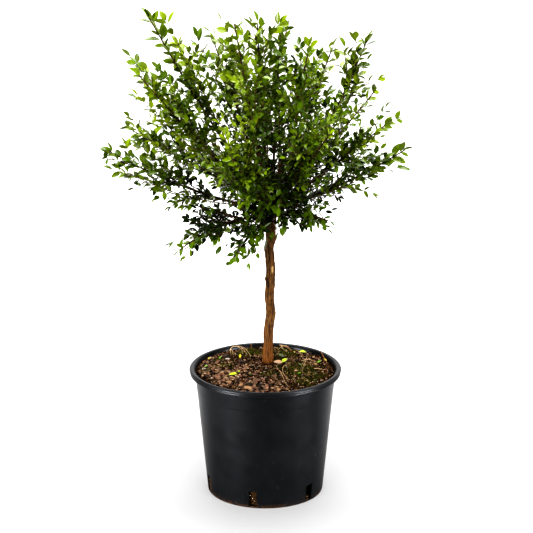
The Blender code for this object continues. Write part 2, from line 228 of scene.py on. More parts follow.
def ranged(tree, value, low, high, least=0.0, most=1.0):
    """A value told as a number from least to most while it goes from low to high."""
    ends = {"From Min": low, "From Max": high, "To Min": least, "To Max": most}
    return add_node(tree, "MapRange", {"Value": value, **ends}).outputs[0]


def mixed(tree, share, under, over):
    """One colour laid over another by a share from 0 to 1."""
    return add_node(tree, "Mix", {0: share, 6: under, 7: over}, data_type="RGBA").outputs[2]


def mottled(tree, place, scale, edge, dark=(0.1, 0.1, 0.1), light=(0.2, 0.2, 0.2)):
    """One use of the mottle group: two colours in soft patches, and the mask that parts them."""
    return place_group(tree, MOTTLE, {"Vector": place, "Scale": scale, "Edge": edge,
                                      "Dark": (*dark, 1), "Light": (*light, 1)})


def finish_shader(tree, shader, colour, height, strength, distance):
    """Gives a shader its colour, and a fine relief that follows a height."""
    tree.links.new(colour, shader.inputs["Base Color"])
    bump = add_node(tree, "Bump", {"Strength": strength, "Distance": distance, "Height": height})
    tree.links.new(bump.outputs[0], shader.inputs["Normal"])


def new_material(name, roughness, specular):
    """A material with a Principled shader, and its tree, shader and object coordinates."""
    material = bpy.data.materials.new(name)
    material.use_nodes = True
    tree = material.node_tree
    shader = tree.nodes["Principled BSDF"]
    shader.inputs["Roughness"].default_value = roughness
    shader.inputs["Specular IOR Level"].default_value = specular
    place = add_node(tree, "TexCoord").outputs["Object"]
    return material, tree, shader, place


def make_specks_group():
    """Scattered dots, a share of the cells of a scattered grid: dust, grit and bark pores."""
    group, given, out = new_group(
        "specks",
        {"Vector": ("Vector", None), "Scale": ("Float", 200.0), "Size": ("Float", 0.2),
         "Share": ("Float", 0.3)},
        {"Mask": "Float"},
    )
    cells = add_node(group, "TexVoronoi", {"Vector": given["Vector"], "Scale": given["Scale"]})
    dot = maths(group, "LESS_THAN", cells.outputs["Distance"], given["Size"])
    split = add_node(group, "SeparateColor", {"Color": cells.outputs["Color"]})
    kept = maths(group, "LESS_THAN", split.outputs[0], given["Share"])
    group.links.new(maths(group, "MULTIPLY", dot, kept), out["Mask"])
    return group


def make_mottle_group():
    """Two colours that run into each other in soft patches, and the mask that parts them."""
    group, given, out = new_group(
        "mottle",
        {"Vector": ("Vector", None), "Scale": ("Float", 50.0), "Edge": ("Float", 0.25),
         "Dark": ("Color", (0.1, 0.1, 0.1, 1.0)), "Light": ("Color", (0.2, 0.2, 0.2, 1.0))},
        {"Color": "Color", "Mask": "Float"},
    )
    grain = add_node(group, "TexNoise", {"Vector": given["Vector"], "Scale": given["Scale"],
                                         "Detail": 4.0, "Roughness": 0.6})
    low = maths(group, "SUBTRACT", 0.5, given["Edge"])
    high = maths(group, "ADD", 0.5, given["Edge"])
    mask = ranged(group, grain.outputs["Fac"], low, high)
    group.links.new(mixed(group, mask, given["Dark"], given["Light"]), out["Color"])
    group.links.new(mask, out["Mask"])
    return group


SPECKS = make_specks_group()
MOTTLE = make_mottle_group()


def make_pot_plastic():
    """Satin black plastic with a faint painted sheen in drawn streaks, dust, fine scratches and a soiled
    foot.
    """
    material, tree, shader, place = new_material("pot_plastic", 0.4, 0.38)
    # A faint painted sheen: lighter streaks drawn up and down the wall in the base colour, under the real
    # dust.
    drawn = add_node(tree, "Mapping", {"Vector": place, "Scale": (14.0, 14.0, 2.2)}).outputs[0]
    sheen = mottled(tree, drawn, 1.0, 0.3, (0.0012, 0.0014, 0.0018), (0.0034, 0.0038, 0.0046))
    film = mottled(tree, place, 30.0, 0.3)
    powder = maths(tree, "MULTIPLY", film["Mask"], 0.010)
    dust = place_group(tree, SPECKS, {"Vector": place, "Scale": 260.0, "Size": 0.11, "Share": 0.05})
    loose = maths(tree, "MULTIPLY", dust["Mask"], 0.55)
    dust_and_painted_sheen = mixed(tree, maths(tree, "MAXIMUM", powder, loose), sheen["Color"], (0.21, 0.19, 0.17, 1))
    height = add_node(tree, "SeparateXYZ", {"Vector": place}).outputs["Z"]
    patches = mottled(tree, place, 160.0, 0.08)
    foot = maths(tree, "MULTIPLY", ranged(tree, height, 0.009, 0.001), patches["Mask"])
    dirt = maths(tree, "MULTIPLY", foot, 0.75)
    colour = mixed(tree, dirt, dust_and_painted_sheen, (0.055, 0.028, 0.013, 1))
    gloss = ranged(tree, film["Mask"], 0.0, 1.0, 0.30, 0.42)
    tree.links.new(gloss, shader.inputs["Roughness"])
    lean = add_node(tree, "Mapping", {"Vector": place, "Rotation": (0.3, 0.5, 0.0),
                                      "Scale": (700.0, 700.0, 9.0)}).outputs[0]
    scratch = add_node(tree, "TexNoise", {"Vector": lean, "Scale": 1.0, "Detail": 1.0}).outputs["Fac"]
    grain = add_node(tree, "TexNoise", {"Vector": place, "Scale": 1500.0, "Detail": 2.0}).outputs["Fac"]
    finish_shader(tree, shader, colour, maths(tree, "ADD", scratch, grain), 0.10, 0.0004)
    shader.inputs["Specular Tint"].default_value = (0.92, 0.95, 1.0, 1.0)
    shader.inputs["Sheen Weight"].default_value = 0.14
    shader.inputs["Sheen Roughness"].default_value = 0.20
    shader.inputs["Sheen Tint"].default_value = (0.62, 0.50, 0.42, 1.0)
    return material


def pot_profile():
    """The pot's section from the middle of its floor inside, over the rim, to the middle below."""
    lip_bottom = POT_HEIGHT - LIP_HEIGHT
    lip_step = POT_HEIGHT - LIP_STEP_HEIGHT
    inner = RIM_INNER_RADIUS - WALL_THICKNESS
    ring = RIM_RADIUS - LIP_STEP_DEPTH
    line = MOULD_LINE_HEIGHT
    return rounded((
        (0.0, FLOOR_THICKNESS, 0.0),
        (wall_radius(FLOOR_THICKNESS) - WALL_THICKNESS, FLOOR_THICKNESS, 0.003),
        (wall_radius(lip_bottom) - WALL_THICKNESS, lip_bottom, 0.003),
        (inner, POT_HEIGHT - 0.0042, 0.001),
        (RIM_INNER_RADIUS, POT_HEIGHT - 0.0012, 0.0007),
        (RIM_INNER_RADIUS + 0.0014, POT_HEIGHT - 0.0003, 0.0006),
        (RIM_INNER_RADIUS + 0.0034, POT_HEIGHT - 0.0002, 0.0003),
        (RIM_INNER_RADIUS + 0.0037, POT_HEIGHT, 0.0003),
        (RIM_RADIUS - 0.0036, POT_HEIGHT, 0.0006),
        (RIM_RADIUS - 0.0006, POT_HEIGHT - 0.0016, 0.0006),
        (RIM_RADIUS, POT_HEIGHT - 0.0027, 0.0006),
        (RIM_RADIUS, lip_step + 0.0004, 0.0004),
        (RIM_RADIUS - 0.0023, lip_step, 0.0003),
        (RIM_RADIUS - 0.0024, lip_step - 0.0020, 0.0004),
        (ring, lip_step - 0.0028, 0.0006),
        (ring, lip_bottom + 0.0002, 0.0008),
        (wall_radius(lip_bottom) + 0.0010, lip_bottom, 0.0006),
        (wall_radius(lip_bottom - 0.003), lip_bottom - 0.003, 0.002),
        (wall_radius(line + 0.0006), line + 0.0006, 0.0003),
        (wall_radius(line) - MOULD_LINE_DEPTH, line, 0.0003),
        (wall_radius(FOOT_RING_HEIGHT), FOOT_RING_HEIGHT, 0.0005),
        (wall_radius(0.0) - FOOT_RING_INSET, FOOT_RING_HEIGHT - 0.0004, 0.0002),
        (wall_radius(0.0) - FOOT_RING_INSET, 0.0, 0.0004),
        (0.0, 0.0, 0.0),
    ))


def slot_cutter(number):
    """A box that follows the wall's slope and widens at its outer end, to cut one drainage slot."""
    form = bmesh.new()
    bmesh.ops.create_cube(form, size=1.0)
    bmesh.ops.scale(form, vec=(CUTTER_DEPTH, SLOT_WIDTH, SLOT_TOP - SLOT_BOTTOM), verts=form.verts)
    inset = CUTTER_DEPTH / 2 + SLOT_CHAMFER
    bmesh.ops.translate(form, vec=(-inset, 0.0, SLOT_MIDDLE), verts=form.verts)
    outer = [face for face in form.faces if face.normal.x > 0.9]
    grown = bmesh.ops.extrude_face_region(form, geom=outer)
    bmesh.ops.delete(form, geom=outer, context="FACES_ONLY")
    ends = [item for item in grown["geom"] if isinstance(item, bmesh.types.BMVert)]
    flare = 4 * SLOT_CHAMFER
    for corner in ends:
        corner.co.x += flare
        corner.co.y += math.copysign(flare, corner.co.y)
        corner.co.z += math.copysign(flare, corner.co.z - SLOT_MIDDLE)
    for corner in form.verts:
        corner.co.x += wall_radius(corner.co.z)
    turn = Matrix.Rotation(slot_azimuth(number), 3, "Z")
    bmesh.ops.rotate(form, cent=(0, 0, 0), matrix=turn, verts=form.verts)
    return add_object(f"slot_cutter_{number}", mesh_of("slot", outward(form)))


def cut_by(mesh, cutters):
    """A mesh with every cutter taken out of it; the cutters are then removed."""
    blank = add_object("blank", mesh)
    for cutter in cutters:
        cut = blank.modifiers.new(cutter.name, "BOOLEAN")
        cut.operation = "DIFFERENCE"
        cut.object = cutter
    result = final_mesh(blank)
    for spent in [blank, *cutters]:
        bpy.data.objects.remove(spent, do_unlink=True)
    return result


pot_blank = mesh_of("pot_blank", spun(pot_profile(), POT_STEPS))
pot_mesh = cut_by(pot_blank, [slot_cutter(number) for number in range(SLOT_COUNT)])
pot_form = bmesh.new()
pot_form.from_mesh(pot_mesh)
bmesh.ops.remove_doubles(pot_form, verts=pot_form.verts, dist=MERGE_DISTANCE / 2)
pot_plastic = make_pot_plastic()
pot = add_piece("grower_pot", shaded_mesh(outward(pot_form), 35.0), pot_plastic)
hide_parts("pot")

# A fine raised edge runs along the top and the left side of each slot.  One row an edge:
# height, distance from the slot's middle line, length and lay.
wall_slope = math.atan2(WALL_TOP_RADIUS - WALL_FOOT_RADIUS, POT_HEIGHT)
edge_rows = (
    (SLOT_TOP + SLOT_CHAMFER, 0.0, SLOT_WIDTH + 2 * SLOT_CHAMFER,
     Matrix.Rotation(math.pi / 2, 4, "X")),
    (SLOT_MIDDLE, -SLOT_WIDTH / 2 - SLOT_CHAMFER, SLOT_TOP - SLOT_BOTTOM + 2 * SLOT_CHAMFER,
     Matrix.Rotation(wall_slope, 4, "Y")),
)
edge_form = bmesh.new()
for number in range(SLOT_COUNT):
    turn = Matrix.Rotation(slot_azimuth(number), 4, "Z")
    for height, aside, length, lay in edge_rows:
        spot = Matrix.Translation((wall_radius(height), aside, height))
        bmesh.ops.create_cone(edge_form, cap_ends=True, segments=10, radius1=SLOT_EDGE_RADIUS,
                              radius2=SLOT_EDGE_RADIUS, depth=length, matrix=turn @ spot @ lay)
add_piece("slot_edges", shaded_mesh(edge_form, 40.0), pot_plastic)


# ---- Compost ----
# Bark-based potting compost: a dark, crumbly filling that is mounded up round the trunk.
# It is one lumpy body, covered with loose crumbs, bark chips, white perlite and moss.

SOIL_STEPS = 200
SOIL_EDGE_HEIGHT = 0.230
SOIL_SHOULDER_RADIUS = 0.090
SOIL_SHOULDER_HEIGHT = 0.2350
SOIL_SEAT_RADIUS = 0.036
SOIL_SEAT_HEIGHT = 0.2405
SOIL_EDGE_RADIUS = 0.1271
SOIL_RINGS = 64
SOIL_LUMPS = 0.0022
SOIL_GRAIN = 0.0011
SOIL_GAP = 0.0006
SOIL_FOOT_GAP = 0.0016
SOIL_FOOT_TOP = 0.038
SOIL_FOOT_ROW = 0.0022
SOIL_FOOT_ROWS = 16
SOIL_BOTTOM = 0.0035
# Where it shows in the slots its side is uneven, below a height and outside a radius.
SOIL_SIDE_TOP = 0.045
SOIL_SIDE_RADIUS = 0.05
SOIL_SIDE_LUMPS = 0.0014
# Round the trunk's foot, from one distance on, the surface grows from calm to lumpy.
CALM_FROM = 0.006
CALM_WIDTH = 0.02
CALM_LEAST = 0.12
# Compost has fallen out behind one slot and bulges into another; half widths in degrees.
SPILT_SLOT = 1
SPILT_DEPTH = 0.009
SPILT_BOTTOM = 0.009
SPILT_HALF_WIDTH = 7.0
FULL_SLOT = 5
FULL_DEPTH = 0.0038
FULL_HALF_WIDTH = 3.0
TRUNK_FOOT = Vector((0.0042, 0.015, 0.2410))


def ground(x, y):
    """Height of the compost's surface: a low mound, lumpy away from the trunk's foot."""
    radius = math.hypot(x, y)
    if radius < SOIL_SHOULDER_RADIUS:
        share = max(0.0, radius - SOIL_SEAT_RADIUS) / (SOIL_SHOULDER_RADIUS - SOIL_SEAT_RADIUS)
        share = share * share * (3 - 2 * share)
        height = SOIL_SEAT_HEIGHT + (SOIL_SHOULDER_HEIGHT - SOIL_SEAT_HEIGHT) * share
    else:
        share = (radius - SOIL_SHOULDER_RADIUS) / (SOIL_EDGE_RADIUS - SOIL_SHOULDER_RADIUS)
        height = SOIL_SHOULDER_HEIGHT + (SOIL_EDGE_HEIGHT - SOIL_SHOULDER_HEIGHT) * share
    spot = Vector((x, y, 0.0))
    near = math.hypot(x - TRUNK_FOOT.x, y - TRUNK_FOOT.y)
    calm = min(1.0, max(CALM_LEAST, (near - CALM_FROM) / CALM_WIDTH))
    lumps = noise.noise(spot * 45.0) * SOIL_LUMPS + noise.noise(spot * 120.0) * SOIL_LUMPS * 0.5
    grain = noise.noise(spot * 330.0) * SOIL_GRAIN
    return height + (lumps + grain) * calm


def make_compost():
    """Dark brown crumbs with reddish fibres, and near black in the gaps between them: partly the compost's
    own colour, partly painted shade.
    """
    material, tree, shader, place = new_material("compost", 0.95, 0.04)
    # The near-black patches are partly the compost's own dark colour and partly painted shade in the gaps
    # between the crumbs.
    coarse = mottled(tree, place, 170.0, 0.16, (0.004, 0.0025, 0.0012), (0.034, 0.017, 0.006))
    fine = mottled(tree, place, 600.0, 0.12)
    colour = mixed(tree, fine["Mask"], coarse["Color"], (0.055, 0.029, 0.011, 1))
    finish_shader(tree, shader, colour, fine["Mask"], 0.9, 0.001)
    return material


def beside_wall(height, gap):
    """A point of the filling's section that keeps a gap from the wall's inner side."""
    return Vector((wall_radius(height) - WALL_THICKNESS - gap, height))


def from_slot(point, number):
    """How far round the pot a point is from the middle of a slot, in degrees."""
    turn = math.degrees(math.atan2(point.y, point.x) - slot_azimuth(number))
    return abs((turn + 180.0) % 360.0 - 180.0)


soil_profile = [Vector((SOIL_EDGE_RADIUS * ring / SOIL_RINGS, POT_HEIGHT)) for ring in range(SOIL_RINGS + 1)]
soil_profile += [beside_wall(height, SOIL_GAP) for height in (0.2, 0.05)]
soil_profile += [beside_wall(SOIL_FOOT_TOP - SOIL_FOOT_ROW * row, SOIL_FOOT_GAP)
                 for row in range(SOIL_FOOT_ROWS)]
soil_profile += [Vector((0.0, SOIL_BOTTOM))]
soil_form = spun(soil_profile, SOIL_STEPS)
for corner in soil_form.verts:
    radius = math.hypot(corner.co.x, corner.co.y)
    if corner.co.z > POT_HEIGHT - 0.001:
        corner.co.z = ground(corner.co.x, corner.co.y)
    elif radius > SOIL_SIDE_RADIUS and corner.co.z < SOIL_SIDE_TOP:
        give = SOIL_SIDE_LUMPS * (noise.noise(corner.co * 260.0) - 0.6)
        if from_slot(corner.co, SPILT_SLOT) < SPILT_HALF_WIDTH and corner.co.z > SPILT_BOTTOM:
            give -= SPILT_DEPTH
        if from_slot(corner.co, FULL_SLOT) < FULL_HALF_WIDTH and SLOT_BOTTOM < corner.co.z < SLOT_TOP:
            give += FULL_DEPTH
        corner.co.x += corner.co.x / radius * give
        corner.co.y += corner.co.y / radius * give
compost = make_compost()
soil = add_piece("compost_filling", shaded_mesh(soil_form, 180.0), compost)
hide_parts("soil")


# ---- Crumbs, bark chips and perlite ----
# Loose bits that lie on the filling and show through the slots: crumbs of compost, flat
# chips of pine bark from three to sixteen millimetres long, and white grains of perlite.

TRUNK_ROOM = 0.011


def shape_of(form):
    """The corners, faces and UV map of a small form, kept as arrays for copying many times."""
    form.verts.index_update()
    points = np.array([corner.co[:] for corner in form.verts], float)
    faces = [[corner.index for corner in face.verts] for face in form.faces]
    layer = form.loops.layers.uv.active
    marks = [loop[layer].uv[:] if layer else (0.0, 0.0) for face in form.faces for loop in face.loops]
    form.free()
    return points, faces, np.array(marks, float)


def joined_mesh(shapes, places, smooth=False):
    """One mesh of many copies of a few shapes; a place is (shape number, 4 by 4 matrix)."""
    points, loops, totals, marks = [], [], [], []
    start = 0
    for number, matrix in places:
        corners, faces, uvs = shapes[number]
        turn = np.array(matrix, float)
        points.append(corners @ turn[:3, :3].T + turn[:3, 3])
        for face in faces:
            loops.extend(start + corner for corner in face)
            totals.append(len(face))
        marks.append(uvs)
        start += len(corners)
    mesh = bpy.data.meshes.new("joined")
    mesh.vertices.add(start)
    mesh.vertices.foreach_set("co", np.concatenate(points).astype(np.float32).ravel())
    mesh.loops.add(len(loops))
    mesh.loops.foreach_set("vertex_index", loops)
    mesh.polygons.add(len(totals))
    mesh.polygons.foreach_set("loop_start", np.concatenate(([0], np.cumsum(totals)[:-1])))
    layer = mesh.uv_layers.new(name="leaf_map")
    layer.data.foreach_set("uv", np.concatenate(marks).astype(np.float32).ravel())
    mesh.update(calc_edges=True)
    mesh.validate()
    if smooth:
        mesh.polygons.foreach_set("use_smooth", [True] * len(mesh.polygons))
    return mesh


def stone_shape(seed, stretch, roughness):
    """An uneven closed lump about one across, flattened by its stretch."""
    draw = random.Random(seed)
    form = bmesh.new()
    bmesh.ops.create_icosphere(form, subdivisions=1, radius=0.5)
    for corner in form.verts:
        corner.co *= 1.0 + draw.uniform(-roughness, roughness)
    bmesh.ops.scale(form, vec=stretch, verts=form.verts)
    return shape_of(outward(form))


def crumb_shape(seed):
    """A closed crumb of six sides, about one across."""
    draw = random.Random(seed)
    form = bmesh.new()
    bmesh.ops.create_uvsphere(form, u_segments=4, v_segments=2, radius=0.5)
    for corner in form.verts:
        corner.co *= 1.0 + draw.uniform(-0.3, 0.3)
    return shape_of(outward(form))


def lying(x, y, size, draw, lift, tilt):
    """A place on the compost, turned at random, for a loose bit of a size."""
    turn = Matrix.Rotation(draw.uniform(0, 2 * math.pi), 4, "Z")
    roll = Matrix.Rotation(draw.uniform(-tilt, tilt), 4, "X")
    lean = Matrix.Rotation(draw.uniform(-tilt, tilt), 4, "Y")
    spot = Matrix.Translation((x, y, ground(x, y) + size * lift * 0.5))
    return spot @ turn @ (roll @ lean) @ Matrix.Scale(size, 4)


def on_soil(draw, margin):
    """A random spot on the compost, clear of the trunk and of the pot's wall."""
    while True:
        turn = draw.uniform(0, 2 * math.pi)
        radius = (SOIL_EDGE_RADIUS - margin) * math.sqrt(draw.random())
        x, y = radius * math.cos(turn), radius * math.sin(turn)
        if math.hypot(x - TRUNK_FOOT.x, y - TRUNK_FOOT.y) > TRUNK_ROOM + margin:
            return x, y


def make_bits(name, dark, light, scale=700.0, roughness=0.85):
    """A dry, slightly mottled finish for loose bits."""
    material, tree, shader, place = new_material(name, roughness, 0.08)
    grain = mottled(tree, place, scale, 0.2, dark, light)
    finish_shader(tree, shader, grain["Color"], grain["Mask"], 0.5, 0.0004)
    return material


CHIP_SHAPES = [stone_shape(seed, (1.0, 0.62, 0.34), 0.22) for seed in range(8)]
GRAIN_SHAPES = [stone_shape(20 + seed, (1.0, 0.85, 0.75), 0.18) for seed in range(4)]
CRUMB_SHAPES = [crumb_shape(40 + seed) for seed in range(6)]
# Chips lie thickest at the front left, in patches told by x, y and reach, and thinly
# elsewhere; in the patches they are larger too.
COARSE_PATCHES = ((-0.075, -0.045, 0.050), (-0.020, -0.100, 0.045), (-0.100, 0.020, 0.030))
CHIPS_ELSEWHERE = 0.16
CHIP_SMALLEST = 0.0030
CHIP_GROWTH = 0.0050
COARSE_GROWTH = 0.0085
CHIP_COLOURS = (
    ("chips_brown", 340, (0.100, 0.055, 0.030), (0.330, 0.205, 0.130)),
    ("chips_red", 190, (0.130, 0.058, 0.034), (0.330, 0.180, 0.118)),
    ("chips_tan", 170, (0.330, 0.195, 0.100), (0.620, 0.430, 0.260)),
    ("chips_dark", 260, (0.014, 0.009, 0.006), (0.060, 0.042, 0.032)),
)


def near_patches(x, y, patches):
    """How much a spot belongs to soft round patches: 1 in the middle of one, 0 far from all."""
    return max(math.exp(-((x - px) ** 2 + (y - py) ** 2) / reach**2) for px, py, reach in patches)


for order, (name, count, dark, light) in enumerate(CHIP_COLOURS):
    draw = random.Random(300 + order)
    places = []
    while len(places) < count:
        x, y = on_soil(draw, 0.006)
        coarse = near_patches(x, y, COARSE_PATCHES)
        if draw.random() > CHIPS_ELSEWHERE + (1.0 - CHIPS_ELSEWHERE) * coarse:
            continue
        size = CHIP_SMALLEST + CHIP_GROWTH * draw.random() ** 2
        size += COARSE_GROWTH * coarse * draw.random() ** 3
        places.append((draw.randrange(len(CHIP_SHAPES)), lying(x, y, size, draw, 0.35, 0.5)))
    add_piece(name, joined_mesh(CHIP_SHAPES, places), make_bits(name, dark, light))

# The chips that stand out.  Of each kind: its two colours, then x, y, length and turn in
# degrees of every chip.
LARGE_CHIPS = {
    "large_tan": ((0.300, 0.160, 0.075), (0.500, 0.310, 0.175), (
        (-0.0306, -0.1045, 0.0165, 10), (-0.0435, -0.0905, 0.0120, 70),
        (-0.0660, -0.0750, 0.0110, 20), (0.0237, -0.1105, 0.0092, -5),
        (-0.0560, -0.0960, 0.0080, 40), (-0.0830, -0.0720, 0.0075, 80),
    )),
    "large_brown": ((0.070, 0.038, 0.022), (0.230, 0.135, 0.085), (
        (-0.1080, -0.0230, 0.0146, 20), (-0.0693, -0.0275, 0.0165, 10),
        (-0.0954, -0.0085, 0.0110, 80), (-0.0523, -0.0645, 0.0110, 30),
        (-0.0151, -0.0725, 0.0160, 15), (-0.0206, -0.0480, 0.0128, 5),
        (0.0168, -0.0535, 0.0128, 20), (-0.0340, -0.0640, 0.0120, 60), (0.0960, 0.0550, 0.0100, 60),
        (-0.0990, 0.0600, 0.0110, 70), (-0.0620, -0.0620, 0.0125, 100),
    )),
    "large_red": ((0.100, 0.042, 0.025), (0.260, 0.130, 0.085), (
        (-0.0828, -0.0415, 0.0150, 35), (-0.1130, 0.0400, 0.0100, 30),
        (-0.0050, -0.0880, 0.0100, 10), (0.1120, -0.0030, 0.0092, 60),
        (-0.0400, -0.0800, 0.0090, 0),
    )),
    "large_grey": ((0.030, 0.021, 0.017), (0.085, 0.060, 0.048), (
        (-0.0422, 0.0155, 0.0128, -8), (-0.0510, 0.0070, 0.0100, 12), (-0.0734, 0.0565, 0.0165, 25),
        (-0.0305, -0.0700, 0.0092, 80), (-0.0117, 0.0010, 0.0092, 10), (0.0841, 0.0890, 0.0092, 60),
    )),
    "large_white": ((0.380, 0.330, 0.290), (0.640, 0.600, 0.540), (
        (-0.1020, 0.0710, 0.0064, 50), (-0.1130, -0.0010, 0.0082, 10), (-0.0695, 0.0450, 0.0105, 5),
        (-0.0968, -0.0505, 0.0060, 0), (-0.0858, -0.0465, 0.0046, 40), (-0.0090, 0.1170, 0.0055, 0),
    )),
}
LARGE_SEAT = 0.12
LARGE_ROLL = 0.25
LARGE_SHAPES = []
for seed in range(5):
    draw = random.Random(60 + seed)
    form = bmesh.new()
    bmesh.ops.create_icosphere(form, subdivisions=2, radius=0.5)
    for corner in form.verts:
        corner.co *= 1.0 + 0.32 * noise.noise(corner.co * 2.6 + Vector((seed * 7.0, 0.0, 0.0)))
    bmesh.ops.scale(form, vec=(1.0, 0.66, 0.42), verts=form.verts)
    LARGE_SHAPES.append(shape_of(outward(form)))
for name, (dark, light, rows) in LARGE_CHIPS.items():
    draw = random.Random(name)
    places = []
    for x, y, size, turn in rows:
        spot = Matrix.Translation((x, y, ground(x, y) + size * LARGE_SEAT))
        roll = Matrix.Rotation(draw.uniform(-LARGE_ROLL, LARGE_ROLL), 4, "X")
        lean = Matrix.Rotation(math.radians(turn), 4, "Z") @ roll
        places.append((draw.randrange(len(LARGE_SHAPES)), spot @ lean @ Matrix.Scale(size, 4)))
    mesh = joined_mesh(LARGE_SHAPES, places, smooth=True)
    add_piece(name, mesh, make_bits(name, dark, light))

CRUMB_SMALLEST = 0.0011
CRUMB_GROWTH = 0.0028
CRUMB_COLOURS = (
    ("crumbs_dark", 6000, (0.004, 0.002, 0.001), (0.015, 0.008, 0.003)),
    ("crumbs_brown", 4200, (0.080, 0.036, 0.014), (0.200, 0.095, 0.042)),
    ("crumbs_light", 900, (0.340, 0.185, 0.095), (0.720, 0.500, 0.330)),
)
for order, (name, count, dark, light) in enumerate(CRUMB_COLOURS):
    draw = random.Random(320 + order)
    places = []
    for number in range(count):
        x, y = on_soil(draw, 0.001)
        size = CRUMB_SMALLEST + CRUMB_GROWTH * draw.random() ** 2
        places.append((draw.randrange(len(CRUMB_SHAPES)), lying(x, y, size, draw, 0.6, 3.1)))
    add_piece(name, joined_mesh(CRUMB_SHAPES, places), make_bits(name, dark, light))

PERLITE_GRAINS = 230
PERLITE_SMALLEST = 0.0013
PERLITE_GROWTH = 0.0017
draw = random.Random(330)
places = []
for number in range(PERLITE_GRAINS):
    x, y = on_soil(draw, 0.004)
    size = PERLITE_SMALLEST + PERLITE_GROWTH * draw.random() ** 2
    places.append((draw.randrange(len(GRAIN_SHAPES)), lying(x, y, size, draw, 0.9, 3.1)))
# Perlite shows in the slots as well, half sunk in the compost behind them.
SLOT_PERLITE_SPREAD = 3.2
SLOT_PERLITE_MARGIN = 0.003
SLOT_PERLITE_GAP = 0.0019
for number in range(SLOT_COUNT * 4):
    if number % SLOT_COUNT == SPILT_SLOT:
        continue
    aside = math.radians(draw.uniform(-SLOT_PERLITE_SPREAD, SLOT_PERLITE_SPREAD))
    turn = slot_azimuth(number % SLOT_COUNT) + aside
    height = draw.uniform(SLOT_BOTTOM + SLOT_PERLITE_MARGIN, SLOT_TOP - SLOT_PERLITE_MARGIN)
    radius = wall_radius(height) - WALL_THICKNESS - SLOT_PERLITE_GAP
    spot = Matrix.Translation((radius * math.cos(turn), radius * math.sin(turn), height))
    shape = draw.randrange(len(GRAIN_SHAPES))
    places.append((shape, spot @ Matrix.Scale(draw.uniform(0.0010, 0.0018), 4)))
add_piece("perlite", joined_mesh(GRAIN_SHAPES, places),
          make_bits("perlite", (0.50, 0.45, 0.38), (0.80, 0.76, 0.68), 900.0, 0.7))


# ---- Moss ----
# Low olive-green moss that has crept over the compost, thickest to the right of the trunk
# and behind it: thousands of tiny three-sided shoots that stand in soft cushions.

MOSS_PATCHES = (
    (0.0380, 0.0640, 0.018), (0.0650, -0.0150, 0.030), (-0.0250, 0.0800, 0.022),
    (0.0350, 0.1050, 0.015), (0.0900, -0.0350, 0.018), (-0.0780, 0.0100, 0.013),
    (-0.1120, -0.0050, 0.009), (0.0200, 0.0200, 0.012), (0.0100, -0.0450, 0.012),
    (-0.0850, 0.0420, 0.007), (0.0700, -0.0700, 0.016),
)
MOSS_COLOURS = (
    ("moss_olive", 3600, (0.034, 0.033, 0.003), (0.095, 0.092, 0.008)),
    ("moss_green", 1500, (0.045, 0.070, 0.004), (0.110, 0.160, 0.008)),
)
form = bmesh.new()
bmesh.ops.create_cone(form, cap_ends=False, segments=3, radius1=0.28, radius2=0.02, depth=1.0)
bmesh.ops.translate(form, vec=(0.0, 0.0, 0.35), verts=form.verts)
MOSS_SHAPES = [shape_of(form)]
for order, (name, count, dark, light) in enumerate(MOSS_COLOURS):
    draw = random.Random(340 + order)
    places = []
    while len(places) < count:
        x, y = on_soil(draw, 0.002)
        if draw.random() > near_patches(x, y, MOSS_PATCHES) * (1.0 if order == 0 else 0.8):
            continue
        places.append((0, lying(x, y, draw.uniform(0.0014, 0.0028), draw, 0.9, 0.7)))
    add_piece(name, joined_mesh(MOSS_SHAPES, places), make_bits(name, dark, light, 300.0))


# ---- Root fibres and sticks ----
# Tan root fibres that the compost has worked up, curled over its surface, and a few dry
# sticks: thin round wood from half a millimetre to almost two millimetres thick.

